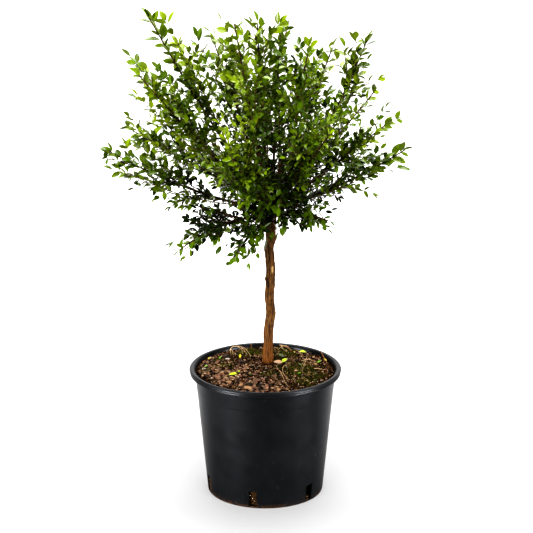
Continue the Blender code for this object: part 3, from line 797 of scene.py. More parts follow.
# One row a fibre: its thickness, then its course as x, y and height over the compost.
FIBRES = (
    (0.0010, (0.0197, -0.0035, 0.001), (0.0224, -0.0215, 0.002), (0.0278, -0.0430, 0.003),
     (0.0322, -0.0595, 0.002), (0.0348, -0.0750, 0.002), (0.0392, -0.0905, 0.002),
     (0.0445, -0.1015, 0.001)),
    (0.0010, (0.0428, -0.0005, 0.001), (0.0353, -0.0065, 0.003), (0.0315, -0.0260, 0.003),
     (0.0332, -0.0475, 0.003), (0.0386, -0.0615, 0.002), (0.0420, -0.0800, 0.001)),
    (0.0008, (0.0233, -0.0290, 0.001), (0.0278, -0.0405, 0.003), (0.0377, -0.0550, 0.002),
     (0.0430, -0.0710, 0.001)),
    (0.0012, (0.0663, 0.0285, 0.002), (0.0794, 0.0355, 0.004), (0.0952, 0.0345, 0.001)),
    (0.0009, (0.0769, 0.0550, 0.001), (0.0734, 0.0140, 0.005), (0.0636, -0.0280, 0.001)),
    (0.0007, (0.0756, 0.0325, 0.003), (0.0809, 0.0160, 0.004), (0.0870, 0.0000, 0.001)),
    (0.0007, (0.0777, 0.0450, 0.003), (0.0717, 0.0230, 0.005), (0.0608, -0.0325, 0.001)),
    (0.0007, (0.0752, 0.0080, 0.003), (0.0693, -0.0170, 0.003), (0.0673, -0.0275, 0.001)),
    (0.0013, (0.0896, -0.0110, 0.001), (0.1008, -0.0060, 0.003), (0.1160, -0.0060, 0.001)),
    (0.0008, (0.0581, 0.1100, 0.001), (0.0652, 0.0805, 0.003), (0.0702, 0.0430, 0.001)),
    (0.0011, (-0.0649, 0.0850, 0.000), (-0.0654, 0.0850, 0.009), (-0.0607, 0.0850, 0.014),
     (-0.0531, 0.0850, 0.0145), (-0.0456, 0.0840, 0.012), (-0.0391, 0.0800, 0.010),
     (-0.0334, 0.0700, 0.006), (-0.0288, 0.0560, 0.001)),
    (0.0008, (-0.0640, 0.0830, 0.009), (-0.0615, 0.0770, 0.006), (-0.0600, 0.0650, 0.001)),
    (0.0007, (-0.0510, 0.0850, 0.013), (-0.0450, 0.0800, 0.008), (-0.0420, 0.0700, 0.001)),
    (0.0007, (-0.0456, 0.0840, 0.012), (-0.0400, 0.0700, 0.009), (-0.0330, 0.0600, 0.001)),
    (0.0014, (0.0270, 0.1130, 0.009), (0.0344, 0.1130, 0.007), (0.0439, 0.1110, 0.004),
     (0.0496, 0.1050, 0.000)),
    (0.0009, (0.0220, 0.1050, 0.000), (0.0316, 0.1100, 0.006), (0.0410, 0.1100, 0.0077),
     (0.0476, 0.1060, 0.001)),
    (0.0008, (0.0166, 0.1100, 0.003), (0.0222, 0.1080, 0.003), (0.0277, 0.0905, 0.001)),
    (0.0010, (0.0300, 0.1160, 0.006), (0.0330, 0.1000, 0.005), (0.0400, 0.0900, 0.001)),
)
STICKS = (
    (0.0015, (0.1040, 0.0830, 0.010), (0.1090, 0.0560, 0.004), (0.1155, 0.0295, 0.001)),
    (0.0013, (-0.0266, 0.1100, 0.0125), (-0.0266, 0.1090, 0.007), (-0.0264, 0.1080, 0.001)),
    (0.0017, (0.0350, 0.1130, 0.008), (0.0420, 0.1080, 0.006), (0.0500, 0.0980, 0.001)),
    (0.0014, (0.0860, 0.0420, 0.001), (0.0900, 0.0300, 0.003), (0.0980, 0.0180, 0.001)),
)
# A fibre's radius at its thick end, as a share of its thickness, and how much it loses.
FIBRE_END = 0.62
FIBRE_TAPER = 0.27
LOOSE_FIBRES = 55
LOOSE_FIBRE_RADIUS = 0.00022


def over_ground(course):
    """Points in space for a course given as x, y and height over the compost."""
    return [Vector((x, y, ground(x, y) + rise)) for x, y, rise in course]


def smooth_line(points, pieces):
    """A smooth line through a few points (a Catmull-Rom curve)."""
    ends = [points[0] * 2 - points[1], *points, points[-1] * 2 - points[-2]]
    line = []
    for before, start, stop, after in zip(ends, ends[1:], ends[2:], ends[3:]):
        for piece in range(pieces):
            t = piece / pieces
            line.append(0.5 * (2 * start + (stop - before) * t
                               + (2 * before - 5 * start + 4 * stop - after) * t * t
                               + (3 * start - before - 3 * stop + after) * t**3))
    return [*line, points[-1]]


def tube_mesh(lines, sides):
    """One form of round tubes; a line is a list of (point, radius) along one of them."""
    curve = bpy.data.curves.new("lines", "CURVE")
    curve.dimensions = "3D"
    curve.twist_mode = "MINIMUM"
    curve.bevel_depth = 1.0
    curve.bevel_resolution = max(0, sides // 2 - 2)
    curve.use_fill_caps = True
    for line in lines:
        spline = curve.splines.new("POLY")
        spline.points.add(len(line) - 1)
        for slot, (point, radius) in zip(spline.points, line):
            slot.co = (*point, 1.0)
            slot.radius = radius
    holder = add_object("lines", curve)
    mesh = final_mesh(holder)
    bpy.data.objects.remove(holder, do_unlink=True)
    form = bmesh.new()
    form.from_mesh(mesh)
    bmesh.ops.remove_doubles(form, verts=form.verts, dist=MERGE_DISTANCE)
    return form


fibre_lines = []
for thickness, *course in FIBRES:
    line = smooth_line(over_ground(course), 6)
    fibre_lines.append([(point, thickness * (FIBRE_END - FIBRE_TAPER * step / len(line)))
                        for step, point in enumerate(line)])
draw = random.Random(350)
for number in range(LOOSE_FIBRES):
    x, y = on_soil(draw, 0.012)
    turn = draw.uniform(0.0, 2 * math.pi)
    step = draw.uniform(0.003, 0.008)
    course = []
    for bend in range(4):
        course.append((x, y, 0.0006 + 0.0012 * (bend % 3)))
        x += step * math.cos(turn)
        y += step * math.sin(turn)
        turn += draw.uniform(-0.9, 0.9)
    if math.hypot(x, y) < SOIL_EDGE_RADIUS - 0.004:
        line = smooth_line(over_ground(course), 4)
        fibre_lines.append([(point, LOOSE_FIBRE_RADIUS) for point in line])
add_piece("root_fibres", shaded_mesh(tube_mesh(fibre_lines, 4), 180.0),
          make_bits("root_fibres", (0.400, 0.250, 0.120), (0.700, 0.500, 0.290), 300.0))
stick_lines = []
for thickness, *course in STICKS:
    line = smooth_line(over_ground(course), 6)
    stick_lines.append([(point, thickness * 0.5) for point in line])
add_piece("dry_sticks", shaded_mesh(tube_mesh(stick_lines, 6), 60.0),
          make_bits("dry_sticks", (0.170, 0.070, 0.028), (0.380, 0.190, 0.090), 500.0))


# ---- Trunk ----
# One upright stem with fissured brown bark, cut flat at the compost.  It flares a little
# at its foot, wanders to each side, carries pruning knots, and swells where it forks.

TRUNK_HEAD = Vector((0.0102, 0.015, 0.556))
# The stem's course: height and place sideways at each of its bends.
TRUNK_COURSE = (
    (0.2410, 0.0042), (0.2626, 0.0049), (0.2782, 0.0054), (0.2899, 0.0057), (0.2977, 0.0058),
    (0.3055, 0.0063), (0.3132, 0.0072), (0.3210, 0.0080), (0.3288, 0.0091), (0.3365, 0.0098),
    (0.3442, 0.0094), (0.3520, 0.0087), (0.3597, 0.0079), (0.3674, 0.0076), (0.3751, 0.0078),
    (0.3828, 0.0083), (0.3905, 0.0092), (0.3982, 0.0093), (0.4059, 0.0091), (0.4135, 0.0099),
    (0.4212, 0.0099), (0.4288, 0.0092), (0.4365, 0.0085), (0.4441, 0.0081), (0.4517, 0.0075),
    (0.4593, 0.0070), (0.4669, 0.0078), (0.4745, 0.0090), (0.4850, 0.0096), (0.5000, 0.0097),
    (0.5200, 0.0101), (0.5400, 0.0102), (0.5560, 0.0102),
)
TRUNK_RADIUS = 0.0084
FLARE_RADIUS = 0.0017
FLARE_HEIGHT = 0.020
KNUCKLE_RADIUS = 0.0036
KNUCKLE_HEIGHT = 0.050
DOME_FLATNESS = 0.45
TRUNK_SIDES = 72
TRUNK_ROWS = 260
DOME_ROWS = 8
BARK_FISSURES = 0.0013
BARK_FLAKES = 0.00045
# Knots: azimuth in degrees, height, swell, and half size round the trunk and along it.
TRUNK_KNOTS = (
    (182.0, 0.4030, 0.0022, 0.0030, 0.0028),
    (178.0, 0.4640, 0.0009, 0.0060, 0.0070),
    (0.0, 0.4780, 0.0016, 0.0060, 0.0060),
    (-15.0, 0.3380, 0.0010, 0.0060, 0.0090),
    (-60.0, 0.4220, -0.0010, 0.0028, 0.0055),
    (150.0, 0.3000, 0.0007, 0.0070, 0.0110),
    (70.0, 0.3700, 0.0012, 0.0050, 0.0050),
    (110.0, 0.4500, 0.0012, 0.0050, 0.0060),
)
SCAR_PLACE = Vector((0.0128, 0.0085, 0.4230))
SCAR_RADIUS = 0.0028
SCAR_CORE = 0.0016
# The bark turns orange from one height down to another.
ORANGE_TOP = 0.330
ORANGE_FULL = 0.242


trunk_line = np.array(smooth_line([Vector((x, 0.0, z)) for z, x in TRUNK_COURSE], 4))


def trunk_point(height):
    """Centre of the trunk at a height: it leans a little and bends to each side."""
    return Vector((np.interp(height, trunk_line[:, 2], trunk_line[:, 0]), TRUNK_FOOT.y, height))


def trunk_radius(height):
    """Even stem with a root flare below and the swollen knuckle above."""
    rise = height - TRUNK_FOOT.z
    drop = TRUNK_HEAD.z - height
    radius = TRUNK_RADIUS + FLARE_RADIUS * math.exp(-((rise / FLARE_HEIGHT) ** 2))
    return radius + KNUCKLE_RADIUS * math.exp(-((drop / KNUCKLE_HEIGHT) ** 2))


def fissures(turn, height):
    """0 on the plates of bark, up to 1 in the grooves that wind between them."""
    out = Vector((math.cos(turn), math.sin(turn), 0.0))
    sway = noise.noise(Vector((out.x, out.y, height * 30.0))) * 0.5
    coarse = noise.noise(Vector((out.x * 2.3 + sway, out.y * 2.3, height * 15.0)))
    fine = noise.noise(Vector((out.x * 5.2 + 7.0, out.y * 5.2 + sway, height * 42.0)))
    return min(1.0, math.exp(-((coarse / 0.10) ** 2)) + 0.6 * math.exp(-((fine / 0.11) ** 2)))


def bark_relief(turn, height):
    """How far the bark stands out: plates between fissures, flakes and knots."""
    out = Vector((math.cos(turn), math.sin(turn), 0.0))
    flake = noise.noise(Vector((out.x * 9.0, out.y * 9.0 + 5.0, height * 150.0)))
    relief = BARK_FISSURES * (0.35 - fissures(turn, height)) + BARK_FLAKES * flake
    for azimuth, knot_height, swell, wide, long in TRUNK_KNOTS:
        around = (turn - math.radians(azimuth) + math.pi) % (2 * math.pi) - math.pi
        reach = (around * TRUNK_RADIUS / wide) ** 2 + ((height - knot_height) / long) ** 2
        relief += swell * math.exp(-reach)
    return relief


def make_bark():
    """Fissured bark: golden-brown plates, grooves darkened partly by their own darker bark and partly by
    painted shade, orange at the foot, and a pale scar.
    """
    material, tree, shader, place = new_material("bark", 0.75, 0.15)
    long = add_node(tree, "Mapping", {"Vector": place, "Scale": (330.0, 330.0, 105.0)}).outputs[0]
    fibre = mottled(tree, long, 1.0, 0.14, (0.020, 0.0065, 0.0007), (0.135, 0.055, 0.008))
    broad = add_node(tree, "Mapping", {"Vector": place, "Scale": (140.0, 140.0, 45.0)}).outputs[0]
    worn = maths(tree, "MULTIPLY", mottled(tree, broad, 1.0, 0.10)["Mask"], 0.40)
    ridged = mixed(tree, worn, fibre["Color"], (0.200, 0.112, 0.045, 1))
    height = add_node(tree, "SeparateXYZ", {"Vector": place}).outputs["Z"]
    low = ranged(tree, height, ORANGE_TOP, ORANGE_FULL, 0.0, 0.70)
    golden = mixed(tree, low, ridged, (0.135, 0.043, 0.002, 1))
    # Darker towards near black in the grooves: partly the darker bark inside them, partly painted shade.
    groove = add_node(tree, "Attribute", attribute_name="groove").outputs["Fac"]
    depth = ranged(tree, groove, 0.15, 0.9, 0.0, 0.88)
    fissured = mixed(tree, depth, golden, (0.007, 0.0025, 0.0004, 1))
    shift = add_node(tree, "VectorMath", {0: place, 1: SCAR_PLACE}, operation="SUBTRACT").outputs[0]
    slim = add_node(tree, "VectorMath", {0: shift, 1: (1.0, 1.0, 0.30)}, operation="MULTIPLY").outputs[0]
    away = add_node(tree, "VectorMath", {0: slim}, operation="LENGTH").outputs["Value"]
    scar = ranged(tree, away, SCAR_RADIUS, SCAR_CORE)
    colour = mixed(tree, scar, fissured, (0.46, 0.30, 0.13, 1))
    finish_shader(tree, shader, colour, fibre["Mask"], 0.8, 0.0006)
    return material


def trunk_form():
    """A grid rolled into a tube: a flat cut below, bark rows, and a low dome on top."""
    form = bmesh.new()
    bmesh.ops.create_grid(form, x_segments=TRUNK_SIDES, y_segments=TRUNK_ROWS, size=0.5)
    groove = form.verts.layers.float.new("groove")
    span = TRUNK_HEAD.z - TRUNK_FOOT.z
    dome = trunk_radius(TRUNK_HEAD.z)
    last = TRUNK_ROWS - DOME_ROWS
    for corner in form.verts:
        turn = 2 * math.pi * (corner.co.x + 0.5)
        row = round((corner.co.y + 0.5) * TRUNK_ROWS)
        out = Vector((math.cos(turn), math.sin(turn), 0.0))
        if row == 0:
            corner.co = TRUNK_FOOT
        elif row <= last:
            height = TRUNK_FOOT.z + span * (row - 1) / (last - 1)
            corner.co = trunk_point(height) + out * (trunk_radius(height) + bark_relief(turn, height))
            corner[groove] = fissures(turn, height)
        else:
            share = (row - last) / DOME_ROWS
            bulge = (dome + bark_relief(turn, TRUNK_HEAD.z)) * math.sqrt(max(0.0, 1.0 - share * share))
            corner.co = TRUNK_HEAD + UP * dome * DOME_FLATNESS * share + out * bulge
    bmesh.ops.remove_doubles(form, verts=form.verts, dist=MERGE_DISTANCE)
    return outward(form)


trunk = add_piece("trunk_bark", shaded_mesh(trunk_form(), 180.0), make_bark())
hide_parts("trunk")


# ---- Boughs ----
# Twenty-four limbs that leave the knuckle, steep ones from its top and drooping ones from
# its foot.  Each tapers without a break into the stem of its own mass of foliage.

FORK_LOWEST = 0.516
FORK_HIGHEST = 0.552
STEEPEST = 86.0
LOWEST_RISE = -36.0
STEEP_OFFSET = 0.0062
BOUGH_FOOT_RADIUS = 0.0029
SHOOT_TIP_RADIUS = 0.0010
TIP_LEAF_LENGTH = 0.021
TIP_LEAF_SHARE = 0.8
BOUGH_SIDES = 10
BOUGH_RINGS = 110
BOUGH_RELIEF = 0.00025
BOUGH_GRAIN = 0.00022
# One row a shoot: azimuth and rise of its tip in degrees, reach, upward bow at half length,
# how richly it branches, and how large its outer leaves are.
SHOOTS = (
    (178, 57, 0.412, -0.014, 0.62, 1.10),
    (-154, 45, 0.376, -0.010, 0.85, 1.00),
    (163, 22, 0.300, 0.004, 0.75, 0.90),
    (-174, 19, 0.324, -0.016, 0.72, 0.92),
    (-142, -17, 0.232, 0.020, 0.90, 0.76),
    (-122, -33, 0.165, 0.012, 0.85, 0.80),
    (-40, -8, 0.150, 0.010, 0.75, 0.74),
    (-3, 22, 0.275, -0.012, 0.58, 1.00),
    (-30, 36, 0.300, -0.004, 0.60, 0.85),
    (27, 40, 0.297, -0.006, 0.60, 0.85),
    (3, 60, 0.358, -0.034, 0.30, 1.05),
    (45, 58, 0.316, 0.000, 0.52, 0.95),
    (78, 74, 0.312, 0.004, 0.50, 0.95),
    (150, 85, 0.337, 0.002, 0.48, 1.00),
    (-128, 73, 0.369, -0.006, 0.50, 1.00),
    (133, 60, 0.318, 0.004, 0.55, 0.95),
    (-66, 36, 0.318, -0.004, 1.25, 0.66),
    (-106, 30, 0.314, -0.006, 1.30, 0.66),
    (-52, 70, 0.318, 0.000, 0.60, 0.82),
    (68, 20, 0.290, -0.008, 0.75, 0.75),
    (104, 38, 0.300, -0.006, 0.80, 0.75),
    (128, 8, 0.250, -0.004, 0.80, 0.75),
    (46, -6, 0.205, 0.010, 0.65, 0.60),
    (96, -14, 0.190, 0.014, 0.70, 0.60),
)


class Shoot:
    """One line from the knuckle to a tip: a bough first, then the stem of a mass."""

    def __init__(self, azimuth, rise, reach, bow, fullness, leaf_size):
        turn = math.radians(azimuth)
        lift = math.radians(rise)
        share = (rise - LOWEST_RISE) / (STEEPEST - LOWEST_RISE)
        height = FORK_LOWEST + (FORK_HIGHEST - FORK_LOWEST) * share
        away = Vector((math.cos(turn), math.sin(turn), 0.0))
        self.start = trunk_point(height) + away * STEEP_OFFSET * max(0.0, math.sin(lift)) ** 2
        head = trunk_point(TRUNK_HEAD.z)
        self.tip = head + (away * math.cos(lift) + UP * math.sin(lift)) * reach
        self.bow = bow
        self.fullness = fullness
        self.leaf_size = leaf_size
        self.reach = (self.tip - self.start).length
        # The wood ends a little short of the tip, where the last leaf takes over.
        self.wood = 1.0 - TIP_LEAF_SHARE * TIP_LEAF_LENGTH / self.reach

    def at(self, share):
        """A point of the line at a share of its length."""
        return self.start.lerp(self.tip, share) + UP * (4 * self.bow * share * (1 - share))

    def radius(self, share):
        """How thick the wood is there, tapering evenly to the tip."""
        return BOUGH_FOOT_RADIUS + (SHOOT_TIP_RADIUS - BOUGH_FOOT_RADIUS) * share


shoots = [Shoot(*row) for row in SHOOTS]
bough_lines = []
for shoot in shoots:
    shares = [shoot.wood * ring / BOUGH_RINGS for ring in range(BOUGH_RINGS + 1)]
    bough_lines.append([(shoot.at(share), shoot.radius(share)) for share in shares])
bough_form = tube_mesh(bough_lines, BOUGH_SIDES)
bough_form.normal_update()
for corner in bough_form.verts:
    relief = noise.noise(corner.co * 420.0) * BOUGH_GRAIN + noise.noise(corner.co * 130.0) * BOUGH_RELIEF
    corner.co += corner.normal * relief


def make_stem_bark(name, dark, light, roughness):
    """Thin bark of young limbs, streaked along and dotted with pale pores."""
    material, tree, shader, place = new_material(name, roughness, 0.12)
    streaks = mottled(tree, place, 260.0, 0.16, dark, light)
    pores = place_group(tree, SPECKS, {"Vector": place, "Scale": 420.0, "Size": 0.25, "Share": 0.25})
    faint = maths(tree, "MULTIPLY", pores["Mask"], 0.5)
    pale = tuple(0.6 * value + 0.12 for value in light)
    colour = mixed(tree, faint, streaks["Color"], (*pale, 1))
    finish_shader(tree, shader, colour, streaks["Mask"], 0.5, 0.0003)
    return material


stem_bark = make_stem_bark("stem_bark", (0.022, 0.010, 0.006), (0.095, 0.045, 0.026), 0.6)
boughs = add_piece("bough_bark", shaded_mesh(bough_form, 180.0), stem_bark)
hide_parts(*[f"bough_{number:02d}" for number in range(1, len(SHOOTS) + 1)])


# ---- Twigs and leaves ----
# Side twigs leave each stem at the golden angle and branch once more; leaves stand on all
# of them in crossed pairs.  A leaf is a glossy oval with a point, folded along its midrib,
# bright at the shoots' tips and darker inside: partly the age of the leaves, partly painted
# light outside and above and painted shade in the crown's heart and below.

GOLDEN_ANGLE = math.radians(137.508)
# Each mass keeps to its own room: not far below its stem, clear of the trunk, and free only
# round the knuckle, where the masses run into each other above the skirt's height.
ROOM_STEPS = 120
DROOP_LIMIT = 0.012
LIMB_CLEARANCE = 0.0020
HEAD_MARGIN = 0.006
KNUCKLE = trunk_point(0.540)
KNUCKLE_ROOM = 0.10
SKIRT_HEIGHT = 0.503
# A few leaves hang lower than the rest before the head of the trunk.
FRINGE_MIDDLE = (0.008, -0.045)
FRINGE_REACH = 0.034
FRINGE_HEIGHT = 0.474
# Twigs stand in three zones of a stem, each told by its first share and its span: short
# ones at the foot, long ones that branch, and medium ones between them.
FOOT_ZONE = (0.03, 0.16)
LONG_ZONE = (0.10, 0.52)
SHORT_ZONE = (0.12, 0.56)
FOOT_TWIGS = 9
LONG_TWIGS = 8
SHORT_TWIGS = 13
FOOT_ANGLES = (45.0, 75.0)
LONG_ANGLES = (11.0, 30.0)
SHORT_ANGLE = math.radians(52)
FOOT_TWIG_LENGTH = 0.042
SHORT_TWIG_LENGTH = 0.062
LONGEST_TWIG = 0.15
TWIG_RADIUS = 0.0011
TWIG_LIFT = 0.18
TWIG_BARE = 0.12
TWIGLET_SPACING = 0.030
TWIGLET_LENGTH = 0.040
TWIGLET_RADIUS = 0.00065
TWIGLET_ANGLE = 0.78
# The stem's own leaves are drawn for its outer and its inner part: first share and span.
OUTER_PART = (0.62, 0.38)
INNER_PART = (0.12, 0.50)
# Boughs whose long stems carry twice as many leaves, and large ones.
LEADERS = (1, 4, 8, 11)
LEADER_LEAVES = 1.30
LEAF_INSIDE = 0.0130
LEAF_OUTSIDE = 0.0238
LEAF_GROWTH = 1.5
LEAF_ANGLE = math.radians(43)
LEAF_ROLL = 0.65
LEAF_ROLL_OUTSIDE = 1.10
LEAF_WIDTH_SHARE = 0.50
LEAF_DEPTH = 1.6
PAIR_APART = 0.80
# In the heart of the crown only a share of the leaves grows; further out than a share of
# the shoot's reach all of them do.
HEART_LEAVES = 0.30
FOOT_LEAVES = 0.75
BARE_HEART = 0.62
# What makes a spray's leaves brighter: its distance from the knuckle and its height, partly
# for younger growth and partly as painted light outside and above and painted shade inside
# and below; the patch it is in; and a few places, some of new growth and some of painted light.
CROWN_REACH = 0.33
CROWN_FOOT = 0.50
CROWN_RISE = 0.38
TONE_BASE = 0.09
TONE_OUTER = 0.44
TONE_HIGH = 0.26
TONE_LOWEST = 0.15
TONE_PATCH = 0.28
TONE_GROWTH_AND_LIGHT = 0.18
TONE_SCATTER = 0.25
SPRAY_LIGHT = 0.72
BRIGHT_REACH = 0.038
BRIGHT_PLACES = (
    (-0.050, -0.210, 0.715), (0.075, -0.190, 0.680), (-0.165, -0.080, 0.625),
    (-0.190, -0.050, 0.700), (-0.220, 0.000, 0.620), (0.170, -0.050, 0.720),
)
# One row a spray: bough, share of its stem it leaves it at, where it ends, how far it
# arches up on the way, and how large its leaves are.  These reach the crown's outline.
SPRAYS = (
    (2, 0.75, (-0.225, -0.060, 0.820), 0.004, 1.0),
    (2, 0.60, (-0.225, -0.060, 0.760), 0.000, 1.0),
    (3, 0.65, (-0.245, 0.060, 0.695), 0.004, 0.9),
    (3, 0.70, (-0.255, 0.060, 0.680), -0.004, 0.9),
    (4, 0.75, (-0.280, -0.060, 0.650), -0.006, 0.9),
    (4, 0.50, (-0.235, 0.000, 0.580), 0.006, 0.9),
    (4, 0.30, (-0.170, -0.020, 0.550), 0.004, 0.9),
    (5, 0.50, (-0.165, -0.080, 0.500), 0.008, 1.0),
    (5, 0.55, (-0.150, -0.120, 0.475), 0.008, 1.0),
    (5, 0.40, (-0.130, -0.105, 0.515), 0.008, 1.0),
    (5, 0.25, (-0.115, -0.060, 0.560), 0.008, 1.0),
    (6, 0.25, (-0.080, -0.070, 0.560), 0.008, 1.0),
    (4, 0.30, (-0.140, -0.040, 0.570), 0.004, 1.0),
    (6, 0.30, (-0.065, -0.080, 0.460), 0.008, 1.0),
    (6, 0.30, (-0.030, -0.100, 0.470), 0.008, 1.0),
    (6, 0.30, (-0.015, -0.090, 0.485), 0.006, 1.0),
    (6, 0.45, (-0.090, -0.110, 0.500), 0.008, 1.0),
    (7, 0.30, (0.110, -0.060, 0.520), 0.004, 1.0),
    (8, 0.35, (0.200, 0.000, 0.565), 0.006, 0.9),
    (8, 0.60, (0.250, 0.020, 0.610), 0.004, 1.0),
    (9, 0.65, (0.230, -0.060, 0.720), 0.004, 0.9),
    (9, 0.60, (0.210, -0.060, 0.740), 0.004, 0.9),
    (11, 0.60, (0.205, 0.020, 0.775), 0.004, 0.9),
    (11, 0.75, (0.160, 0.000, 0.850), 0.000, 1.0),
    (11, 0.70, (0.135, 0.020, 0.840), 0.000, 1.0),
    (19, 0.70, (0.110, -0.060, 0.850), 0.000, 0.9),
    (19, 0.60, (0.080, -0.020, 0.830), 0.000, 0.9),
    (19, 0.65, (0.060, -0.040, 0.850), 0.000, 0.9),
    (13, 0.65, (0.040, 0.060, 0.860), 0.000, 1.0),
    (14, 0.65, (0.025, 0.020, 0.875), 0.000, 1.0),
    (14, 0.70, (-0.025, 0.000, 0.880), 0.000, 1.0),
    (15, 0.70, (-0.075, -0.040, 0.890), 0.000, 1.0),
    (15, 0.65, (-0.095, -0.060, 0.875), 0.000, 0.9),
    (16, 0.65, (-0.125, 0.100, 0.820), 0.000, 0.9),
    (1, 0.55, (-0.135, 0.000, 0.825), 0.000, 0.9),
    (19, 0.30, (0.020, -0.100, 0.700), 0.000, 1.0),
    (15, 0.32, (0.000, -0.110, 0.720), 0.000, 1.0),
    (17, 0.35, (0.015, -0.125, 0.640), 0.006, 1.0),
    (18, 0.35, (0.010, -0.135, 0.620), 0.006, 1.0),
    (17, 0.50, (0.035, -0.170, 0.680), 0.004, 1.0),
    (18, 0.50, (0.000, -0.185, 0.660), 0.004, 1.0),
    (19, 0.45, (0.025, -0.110, 0.780), 0.000, 1.0),
    (17, 0.55, (0.060, -0.155, 0.795), 0.000, 1.0),
    (18, 0.45, (0.000, -0.165, 0.785), 0.000, 1.0),
    (15, 0.45, (-0.050, -0.145, 0.815), 0.000, 0.8),
    (19, 0.60, (0.030, -0.125, 0.835), 0.000, 0.9),
    (19, 0.50, (0.090, -0.125, 0.785), 0.000, 0.9),
    (18, 0.45, (-0.090, -0.145, 0.765), 0.000, 1.0),
    (17, 0.50, (0.030, -0.200, 0.720), 0.000, 1.0),
    (12, 0.55, (0.060, 0.165, 0.795), 0.000, 0.9),
    (21, 0.55, (0.000, 0.185, 0.785), 0.000, 1.0),
    (16, 0.55, (-0.050, 0.175, 0.795), 0.000, 0.9),
    (13, 0.65, (0.030, 0.150, 0.845), 0.000, 0.9),
    (12, 0.50, (0.120, 0.165, 0.760), 0.000, 0.9),
    (16, 0.55, (-0.110, 0.165, 0.770), 0.000, 0.9),
    (21, 0.50, (0.000, 0.210, 0.720), 0.000, 1.0),
    (18, 0.35, (-0.120, -0.155, 0.660), 0.006, 1.0),
    (9, 0.40, (0.155, -0.135, 0.660), 0.006, 0.9),
    (20, 0.30, (0.150, 0.155, 0.640), 0.006, 0.9),
    (22, 0.50, (-0.140, 0.165, 0.660), 0.000, 0.9),
    (17, 0.10, (0.030, -0.045, 0.520), 0.016, 1.5),
    (17, 0.14, (0.025, -0.060, 0.560), 0.010, 1.5),
    (17, 0.16, (0.025, -0.080, 0.600), 0.010, 1.4),
    (18, 0.16, (0.020, -0.080, 0.590), 0.010, 1.4),
    (7, 0.18, (0.025, -0.040, 0.510), 0.012, 1.4),
    (6, 0.14, (-0.010, -0.050, 0.520), 0.014, 1.5),
)
# Shorter ones close the crown's heart.
HEART_SPRAYS = (
    (19, 0.22, (0.010, -0.065, 0.680), 0.000, 1.0),
    (15, 0.22, (0.000, -0.055, 0.700), 0.000, 1.0),
    (14, 0.25, (0.010, 0.020, 0.720), 0.000, 1.0),
    (13, 0.25, (0.025, 0.050, 0.690), 0.000, 1.0),
    (17, 0.25, (0.020, -0.105, 0.625), 0.006, 1.2),
    (18, 0.25, (0.000, -0.115, 0.640), 0.006, 1.2),
    (21, 0.28, (0.015, 0.110, 0.660), 0.006, 1.1),
    (12, 0.22, (0.035, 0.035, 0.660), 0.000, 1.0),
    (19, 0.30, (0.020, -0.060, 0.730), 0.000, 1.0),
    (15, 0.30, (-0.025, -0.065, 0.740), 0.000, 1.0),
    (14, 0.35, (-0.010, 0.015, 0.750), 0.000, 1.0),
    (7, 0.30, (0.065, -0.050, 0.530), 0.008, 1.0),
    (9, 0.20, (0.070, -0.030, 0.590), 0.006, 1.0),
    (8, 0.25, (0.100, -0.020, 0.560), 0.006, 1.0),
    (6, 0.35, (-0.050, -0.070, 0.520), 0.006, 1.1),
)
# Leafy twigs hang before the head of the trunk.
FRINGE_SPRAYS = (
    (17, 0.10, (0.005, -0.045, 0.500), 0.016, 2.0),
    (18, 0.12, (-0.010, -0.050, 0.510), 0.010, 1.5),
)

# The room of each mass is told by the stem nearest to a point.
rooms = kdtree.KDTree(len(shoots) * ROOM_STEPS)
for number, shoot in enumerate(shoots):
    for step in range(ROOM_STEPS):
        rooms.insert(shoot.at(step / (ROOM_STEPS - 1)), number * ROOM_STEPS + step)
rooms.balance()
floors = [min(shoot.at(step / 24).z for step in range(25)) - DROOP_LIMIT for shoot in shoots]


def holds(number, point):
    """Whether a point is in a mass's own room, above its floor and clear of the trunk."""
    near_knuckle = (point - KNUCKLE).length < KNUCKLE_ROOM
    fringe = math.hypot(point.x - FRINGE_MIDDLE[0], point.y - FRINGE_MIDDLE[1]) < FRINGE_REACH
    skirt = FRINGE_HEIGHT if fringe else SKIRT_HEIGHT
    if point.z < (skirt if near_knuckle else floors[number]):
        return False
    if any(not low <= place <= high for low, place, high in zip(cad_box[0], point, cad_box[1])):
        return False
    if point.z < TRUNK_HEAD.z + HEAD_MARGIN:
        middle = trunk_point(min(TRUNK_HEAD.z, max(TRUNK_FOOT.z, point.z)))
        clear = trunk_radius(min(TRUNK_HEAD.z, point.z)) + LIMB_CLEARANCE
        if math.hypot(point.x - middle.x, point.y - middle.y) < clear:
            return False
    return near_knuckle or rooms.find(point)[1] // ROOM_STEPS == number


def roomy(number, path, marks):
    """Whether a mass has room for a path at every one of a few marks."""
    return all(holds(number, path(mark)) for mark in marks)


def side_direction(along, turn):
    """A unit vector square to a line, turned about it from its uppermost side."""
    across = along.cross(UP)
    if across.length < 0.05:
        across = along.cross(Vector((1.0, 0.0, 0.0)))
    across.normalize()
    over = across.cross(along)
    return over * math.cos(turn) + across * math.sin(turn)


def direction(path, share):
    """The way a path runs at a share of its length."""
    return (path(share + 0.02) - path(share - 0.02)).normalized()


# Rows of a leaf from its stalk to its point: share of its length, and width there.
LEAF_ROWS = (
    (0.0, 0.06), (0.09, 0.10), (0.20, 0.52), (0.35, 0.88), (0.52, 1.0), (0.70, 0.86), (0.86, 0.50),
    (0.95, 0.20), (1.0, 0.0),
)


